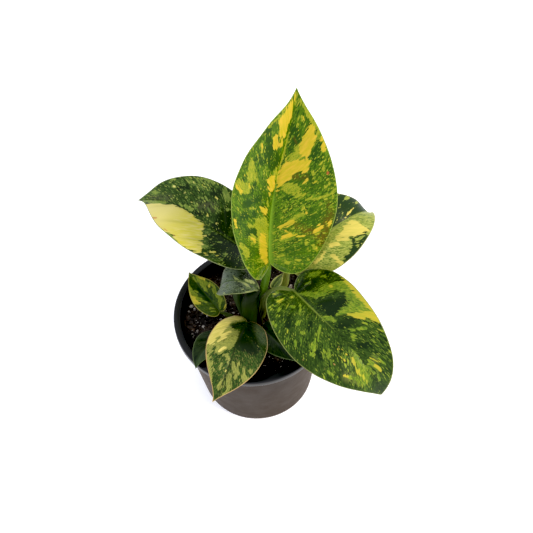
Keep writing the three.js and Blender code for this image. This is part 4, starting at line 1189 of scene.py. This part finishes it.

# Silver leaf
# A small dark green leaf over the crown with a few cream streaks, and a painted blue-grey reflection of the
# sky over much of it. Its blade bends over to the left from a stout sheathed petiole that makes the middle
# of the crown.

SILVER_LEAF = {
    "grid": (90, 26),
    "phase": 0.9,
    "wave": 0.35,
    "midrib": [(7, -4.5, 129), (-5.5, 2.5, 141), (-21, 1, 141.5), (-21.5, 1.5, 120.5)],
    "face": [(0.23, 0.29, 0.92), (0.06, 0, 1)],
    "fold": 10,
    "droop": 11,
    "half_width": (13.9, 13.7),
    "widest": 0.45,
    "lobe": (0.09, -0.11),
    "swell": (0.22, 0.27),
    "taper": (0.05, 0.15),
    "petiole": [
        ((-1.8, -5.2, 79), 4), ((-1.8, -5.8, 92), 4.9), ((-1.5, -6.4, 106), 5.6), ((-1, -6.4, 117), 5.7),
        ((1.2, -5.8, 124), 4.7), ((4.8, -5.2, 127.4), 2.3),
    ],
    "strokes": {
        "yellow": [
            (-3, 10.5, -1, 15, 1.5, 1.2), (-0.8, 15.5, 1.4, 19, 1.1, 1), (1.6, 19.5, 4, 21, 0.6, 0.4),
            (-1.5, 19.5, 0.5, 19, 0.4, 0.4), (1.5, 12, 2.6, 6.6, 1.1, 1.3),
            (-10.5, 11.5, -7, 6.5, 0.5, 0.4), (-9, 14.5, -8.5, 13, 0.5, 0.5),
            (-10.5, 26.5, -12, 25, 0.5, 0.3),
        ],
        "lime": [(-4, 5, 2, 3, 1.6, 1.4), (-6, 11, -5, 8, 1.2, 1.2)],
        "dark": [
            (5, 13.5, 6.5, 10, 2.8, 2.6), (1.5, 15, 3.5, 16.6, 0.9, 0.8), (-4, 17, -6, 15, 1.2, 1.2),
        ],
        # These strokes and the flecks over the upper blade are a painted blue-grey reflection of the sky,
        # with pale streaks.
        "blush_and_painted_sheen": [(-8, 25, 4, 23, 4, 5), (5, 26, 6.6, 21, 4, 3.4)],
        "flecks": [(-6, 24, 4, 24, 4, 4)],
    },
}
# The palette's greys are a painted reflection of the sky on the glossy blade, over its own dark green.
SILVER_PALETTE = {
    "deep": "#081202", "dark": "#222f12", "mid": "#455339", "fleck": "#5e6b51", "fleck2": "#85916d",
    "lime": "#47562a", "lime2": "#566635", "yellow": "#828d53", "yellow2": "#9aa166",
    "blush_and_painted_sheen": "#697666", "spot": "#4d4324", "rib": "#475a31", "rim": "#737c4d", "under": "#60734d",
}
# The petiole's colour darkens to near black towards its top: painted shade under the blade that hangs over
# it.
silver_leaf = grow_leaf(
    "leaf_silver_blade", SILVER_LEAF,
    leaf_lamina("silver_leaf_lamina", SILVER_PALETTE, crowd=0.28, gloss=0.42, seed=9, grain=0.6),
    petiole_skin("silver_leaf_petiole", "#3c4c24", "#101c07", "#263e14", gloss=0.55))
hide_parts("leaf_silver")

# Low front leaf
# A small lower leaf that hangs over the front rim: one base corner is cream, the rest is dark green with
# lime flecks, and its thin margin is pinkish.

LOW_FRONT_LEAF = {
    "grid": (120, 32),
    "phase": 1.7,
    "wave": 0.5,
    "midrib": [(-4, -14.5, 104), (-14, -32.5, 116), (-18, -56.5, 114), (-32.5, -69.5, 98)],
    "face": [(-0.19, -0.43, 0.88), (0, -0.47, 0.88)],
    "fold": 8,
    "droop": 10.5,
    "half_width": (22.2, 20),
    "widest": 0.38,
    "lobe": (0.14, 0.15),
    "swell": (0.19, 0.3),
    "taper": (0.06, 0.14),
    "petiole": [((-2.6, -11, 76), 2.2), ((-2.8, -11.3, 86), 2.1), ((-3.2, -12.4, 95), 2)],
    "strokes": {
        "yellow": [
            (17.6, 28, 16.8, 19, 2.6, 4.4), (16.4, 18, 13, 8, 5, 3.4), (12.4, 7, 6.6, 0.6, 2.6, 2),
            (9.6, 33, 6, 29, 1, 0.7), (12.4, 26, 8.4, 21, 0.9, 0.7), (11.4, 21, 7, 15.6, 1.3, 0.8),
            (0.7, 45.5, 0.7, 44.5, 0.7, 0.6),
        ],
        "lime": [
            (6.8, 25.4, 6, 19, 5.6, 6.2), (12, 25, 11, 14, 6.4, 4), (4, 16, 2.6, 14, 3, 1.6),
            (9.4, 33, 10.4, 28, 2.8, 4), (16.4, 35, 17, 31, 2.4, 3.2), (17, 40, 11.4, 49, 2.7, 1.9),
            (11.4, 49, 6.6, 58, 1.9, 1), (11.6, 8, 4.4, 0, 2.6, 2.4), (-4.4, 53.6, -3, 46.6, 2.2, 1.5),
            (-7, 44, -5.4, 37, 2, 0.9), (-5, 43.6, -2.4, 39, 1.8, 1.4), (-14, 46.4, -12.4, 45, 1.9, 1.8),
            (-15.4, 40.4, -14.4, 39.6, 1.3, 1.2), (5, 45.4, 5.4, 41, 0.9, 0.8),
            (2.4, 36.4, 2.8, 35, 1.4, 1.3), (9, 47.4, 9.4, 46, 0.8, 0.6),
            (11.4, 43.4, 11.8, 42, 0.8, 0.6), (-4, 60, -5.4, 56, 0.9, 0.9), (0.6, 58, -0.6, 56, 1, 0.9),
            (-11, 42, -10.4, 39, 0.9, 0.7), (0.8, 40, 1, 38.6, 0.8, 0.7), (1.6, 57, 0.6, 51, 1.4, 1),
            (-7, 47, -6, 43, 1.2, 1), (3, 33, 6, 35.6, 0.7, 0.8),
        ],
        "dark": [
            (-5, 22, -3, 4, 7, 6), (-12, 25, -8, 21, 5, 6), (1, 3, 7.6, 12, 1.8, 1.8),
            (13.4, 31, 12.6, 28.6, 1.1, 0.9),
        ],
        # Grey-green patches on the base lobe: painted sheen of reflected sky.
        "blush_and_painted_sheen": [(-18, 17, -12, 8, 2, 3), (-12, 8, -8, 1, 3, 2.4)],
        "spots": [(18.6, 36, 14, 48, 0.7, 0.5)],
        "flecks": [(-9, 38, -2, 36, 4, 4), (-3, 54, 0, 48, 5, 5)],
    },
}
LOW_FRONT_PALETTE = {
    "deep": "#112007", "dark": "#172b04", "mid": "#354e18", "fleck": "#595e29", "fleck2": "#817f44",
    "lime": "#747b39", "lime2": "#8d8f42", "yellow": "#b5ac55", "yellow2": "#ccbf69",
    "blush_and_painted_sheen": "#576446", "spot": "#a58153", "rib": "#202f0b", "rim": "#b1965e", "under": "#5c7840",
}
low_front_leaf = grow_leaf(
    "leaf_low_front_blade", LOW_FRONT_LEAF,
    leaf_lamina("low_front_leaf_lamina", LOW_FRONT_PALETTE, crowd=0.2, seed=12, grain=0.75),
    petiole_skin("low_front_leaf_petiole", "#1a280c", "#26381a", "#34461e"))
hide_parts("leaf_low_front")

# Low left leaf
# A small narrow leaf over the mix: dark along the middle, lime to the sides, with a yellow margin that
# has an orange blush. Its thin petiole comes out of the mix beside the crown.

LOW_LEFT_LEAF = {
    "grid": (90, 26),
    "phase": 2.9,
    "wave": 0.3,
    "midrib": [(-23, 0, 98.5), (-29.5, 8.5, 104), (-37.5, 16.5, 109.5), (-42, 26.3, 111)],
    "face": [(-0.11, -0.52, 0.85), (0, -0.44, 0.9)],
    "fold": 15,
    "droop": 8.5,
    "half_width": (11.3, 11),
    "widest": 0.38,
    "lobe": (0.17, 0.17),
    "swell": (0.2, 0.32),
    "taper": (0.08, 0.11),
    "petiole": [
        ((-10.2, -2.6, 76), 1.7), ((-10.8, -2.4, 85), 1.7), ((-14, -1.8, 90.6), 1.6),
        ((-18.4, -1, 94.8), 1.5),
    ],
    "strokes": {
        "yellow": [
            (-9.4, 27, -9.6, 17, 1.4, 2.2), (-8.6, 15, -7.4, 13.6, 1.2, 0.8), (6, 18.5, 7, 19, 0.9, 0.7),
            (4.5, 29, 6.5, 25, 0.8, 0.8), (3.6, -0.4, 7, 1.2, 0.3, 0.4),
        ],
        "lime": [
            (2.5, 19, 4, 29, 1.8, 2), (7, 15, 6, 6, 1.2, 1.7), (5, 6, 1.5, 1.5, 1.2, 0.6),
            (-5.8, 16.6, -3.4, 11, 1.3, 0.5), (-4, 6, -2, 4, 0.8, 0.5), (-5, 4, -2.5, 2, 0.5, 0.4),
            (-3, 33, -1, 35, 0.9, 0.7), (-6, 29, -6.6, 22, 1, 1.5), (-6.6, 21, -6.4, 17, 1.5, 1.4),
            (0.4, 31, 1, 27.4, 1.1, 1.1), (8, 20, 8.6, 15, 0.9, 0.9), (5.4, 24, 5.8, 20, 1.3, 1),
            (-4.4, 23, -3.4, 21, 0.7, 0.6),
        ],
        "dark": [(-1, 22, 0, 12, 1.6, 2.6)],
        "spots": [(-8.6, 30, -10.8, 20, 0.6, 0.7)],
    },
}
LOW_LEFT_PALETTE = {
    "deep": "#021e02", "dark": "#132f02", "mid": "#334805", "fleck": "#4c5c10", "fleck2": "#717b1e",
    "lime": "#5e6e16", "lime2": "#77831e", "yellow": "#949226", "yellow2": "#b5a031",
    "blush_and_painted_sheen": "#8b6e31", "spot": "#b76e31", "rib": "#263e02", "rim": "#8b873c", "under": "#648146",
}
low_left_leaf = grow_leaf(
    "leaf_low_left_blade", LOW_LEFT_LEAF,
    leaf_lamina("low_left_leaf_lamina", LOW_LEFT_PALETTE, crowd=0.1, seed=15, grain=0.6),
    petiole_skin("low_left_leaf_petiole", "#364420", "#3e4c20", "#50602a"))
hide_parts("leaf_low_left")

# Two plain low leaves
# Small young leaves, one under the low front leaf and one under the front leaf. They grew as the others
# did, but are plain dark green all over.

LOW_DARK_LEAF = {
    "grid": (80, 24),
    "phase": 0.2,
    "wave": 0.3,
    "midrib": [(-20, -12.5, 91), (-27.5, -23.5, 96.5), (-39.5, -28.5, 99.5), (-43, -41, 96)],
    "face": [(-0.36, 0.11, 0.92), (-0.12, -0.15, 0.98)],
    "fold": 11.5,
    "droop": 10,
    "half_width": (11.5, 11.5),
    "widest": 0.37,
    "lobe": (0.16, 0.2),
    "swell": (0.2, 0.31),
    "taper": (0.08, 0.12),
    "petiole": [((-9.6, -8, 76), 1.7), ((-10.6, -8.6, 84.6), 1.7), ((-15, -10.6, 88.6), 1.6)],
    "strokes": {
        "blush_and_painted_sheen": [(-6, 8, -2, 34, 6, 5)],
    },
}
LOW_RIGHT_LEAF = {
    "grid": (80, 24),
    "phase": 2.0,
    "wave": 0.3,
    "midrib": [(6, -13.5, 91), (13.5, -25, 99), (19, -39.5, 101), (32, -46.5, 95)],
    "face": [(0.16, -0.19, 0.97), (0.15, -0.2, 0.97)],
    "fold": 15.5,
    "droop": 8,
    "half_width": (13, 12.8),
    "widest": 0.34,
    "lobe": (0.16, 0.2),
    "swell": (0.2, 0.26),
    "taper": (0.05, 0.16),
    "petiole": [((4.5, -10.2, 76), 1.8), ((4.6, -10.4, 84), 1.8), ((5.2, -11.8, 88), 1.6)],
}
PLAIN_PALETTE = {
    "deep": "#020a02", "dark": "#021802", "mid": "#243512", "fleck": "#32421e", "fleck2": "#42512e",
    "lime": "#324724", "lime2": "#3c4f2b", "yellow": "#3c4f2b", "yellow2": "#3c4f2b",
    "blush_and_painted_sheen": "#374b29", "spot": "#374b29", "rib": "#2e401b", "rim": "#4f5e37", "under": "#6b8a4b",
}
plain_lamina = leaf_lamina("plain_low_leaf_lamina", PLAIN_PALETTE, crowd=-0.1, seed=18)
plain_petiole = petiole_skin("plain_low_leaf_petiole", "#0c1406", "#141f0a", "#1e2a0e")
for node_name, leaf in (("leaf_low_dark", LOW_DARK_LEAF), ("leaf_low_right", LOW_RIGHT_LEAF)):
    low_leaf = grow_leaf(node_name + "_blade", leaf, plain_lamina, plain_petiole)
    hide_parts(node_name)

# Cataphyll
# The bract that wrapped an older leaf. It has dried to thin paper with pale edges and stands open beside
# the crown, between the petioles of the back and front leaves.

FIBRE_SPACING = 1.43
FIBRE_RUN = 25
CATAPHYLL = {
    "grid": (60, 18),
    "phase": 0.5,
    "wave": 0.3,
    "rib": 0,
    "midrib": [(15.2, -3.4, 128.6), (16.2, -1.2, 131), (19.8, 2, 132.4), (24.4, 5.4, 132)],
    "face": [(-0.5, -0.6, 0.65), (-0.3, -0.6, 0.75)],
    "fold": 22,
    "droop": -14,
    "half_width": (1.8, 6.6),
    "widest": 0.3,
    "lobe": (0.08, 0.02),
    "swell": (0.16, 0.3),
    "taper": (0.03, 0.2),
}


def dried_bract():
    """Dried bract: papery, olive going to straw, with lengthwise fibres and a pale edge. The real fibres
    are about 0.3 mm apart, finer than a pixel, so they are drawn at FIBRE_SPACING."""
    material = new_material("dried_bract_paper")
    flat = add(material, "UVMap", uv_map="flat")
    space = add(material, "Mapping", {
        "Vector": flat, "Scale": (DECIMETRE / FIBRE_SPACING, DECIMETRE / FIBRE_RUN, 1)})
    fibres = add(material, "TexNoise", {"Vector": space, "Scale": 1, "Detail": 3})
    colour = add(material, "ValToRGB", {0: fibres}, stops=[(0.4, "#2e420e"), (0.6, "#66762c")])
    rim = add(material, "Attribute", attribute_name="rim").outputs["Fac"]
    edge = add(material, "MapRange", {"Value": rim, 1: 0.9, 2: 0.3})
    edged = add(material, "Mix", {0: edge, 6: colour, 7: linear("#8d9048")}, data_type="RGBA")
    relief = add(material, "Bump", {"Height": fibres, "Distance": 0.2 * MM})
    shader = add(material, "BsdfPrincipled", {"Base Color": edged, "Roughness": 0.6, "Normal": relief})
    add(material, "OutputMaterial", {0: shader})
    return material


cataphyll = grow_leaf("cataphyll_paper", CATAPHYLL, dried_bract())
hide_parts("cataphyll")

# Floor, light and camera
# A plain white floor under soft studio light, bright enough to turn it white, with a key light from the
# right. The camera stands where the photograph's did, and looks down on the pot at 60 degrees.

FLOOR_HALF = 3000
FLOOR_PATCH = 333
KEY_PLACE = Vector((1.08, -0.58, 1.13))
KEY_AIM = Vector((0, 0, 0.1))
KEY_SIZE = 0.5
KEY_POWER = 15
SKY_STRENGTH = 1.35
BLACK_LEVEL = 0.008
RIM_CENTRE = Vector((0, 0, 92.7))
CAMERA_DISTANCE = 718.75
CAMERA_ELEVATION = math.radians(59.97)
CAMERA_ROLL = math.radians(5.98)
IMAGE_SIZE = 533
FOCAL_PIXELS = 984.1
RIM_PIXEL = (251.95, 311.86)
SENSOR = 36


def white_floor():
    """Painted white board: matt, with a trace of unevenness."""
    material = new_material("matt_white_board")
    where = add(material, "TexCoord").outputs["Object"]
    tint = add(material, "TexNoise", {"Vector": where, "Scale": per_metre(FLOOR_PATCH), "Detail": 2})
    colour = add(material, "ValToRGB", {0: tint}, stops=[(0.3, "#f4f4f6"), (0.7, "#f8f8f8")])
    shader = add(material, "BsdfPrincipled", {
        "Base Color": colour, "Roughness": 0.9, "Specular IOR Level": 0.1,
        "Emission Color": linear("#f6f6ff"), "Emission Strength": 0.3})
    add(material, "OutputMaterial", {0: shader})
    return material


floor_places = [(x * FLOOR_HALF, y * FLOOR_HALF, 0) for x, y in ((-1, -1), (1, -1), (1, 1), (-1, 1))]
floor = mesh_piece("floor", floor_places, [(0, 1, 2, 3)], [white_floor()])

lamp = bpy.data.lights.new("key_light", "AREA")
lamp.size = KEY_SIZE
lamp.energy = KEY_POWER
lamp.color = linear("#fff0d8")[:3]
key_light = bpy.data.objects.new("key_light", lamp)
key_light.location = KEY_PLACE
key_light.rotation_euler = (KEY_AIM - KEY_PLACE).to_track_quat("-Z", "Y").to_euler()
bpy.context.scene.collection.objects.link(key_light)

world = bpy.data.worlds.new("studio")
world.use_nodes = True
sky = world.node_tree.nodes["Background"].inputs
sky["Color"].default_value = linear("#f6f8ff")
sky["Strength"].default_value = SKY_STRENGTH
bpy.context.scene.world = world

view = bpy.context.scene.view_settings
view.view_transform = "Standard"
view.use_curve_mapping = True
view.curve_mapping.black_level = (BLACK_LEVEL, BLACK_LEVEL, BLACK_LEVEL)
view.curve_mapping.update()

# The camera's axes: level with the floor, then rolled, then turned so that the pot's rim has its pixel.
sine, cosine = math.sin(CAMERA_ELEVATION), math.cos(CAMERA_ELEVATION)
level = Matrix(((1, 0, 0), (0, sine, cosine), (0, -cosine, sine)))
half = IMAGE_SIZE / 2
towards_rim = Vector(((RIM_PIXEL[0] - half) / FOCAL_PIXELS, (half - RIM_PIXEL[1]) / FOCAL_PIXELS, -1))
aim = Vector((0, 0, -1)).rotation_difference(towards_rim).to_matrix()
axes = aim @ Matrix.Rotation(CAMERA_ROLL, 3, "Z") @ level
stand = (RIM_CENTRE + CAMERA_DISTANCE * Vector((0, -cosine, sine))) * MM
lens = bpy.data.cameras.new("camera")
lens.sensor_width = SENSOR
lens.lens = SENSOR * FOCAL_PIXELS / IMAGE_SIZE
lens.clip_end = 20
camera = bpy.data.objects.new("camera", lens)
camera.matrix_world = Matrix.Translation(stand) @ axes.transposed().to_4x4()
bpy.context.scene.collection.objects.link(camera)
bpy.context.scene.camera = camera
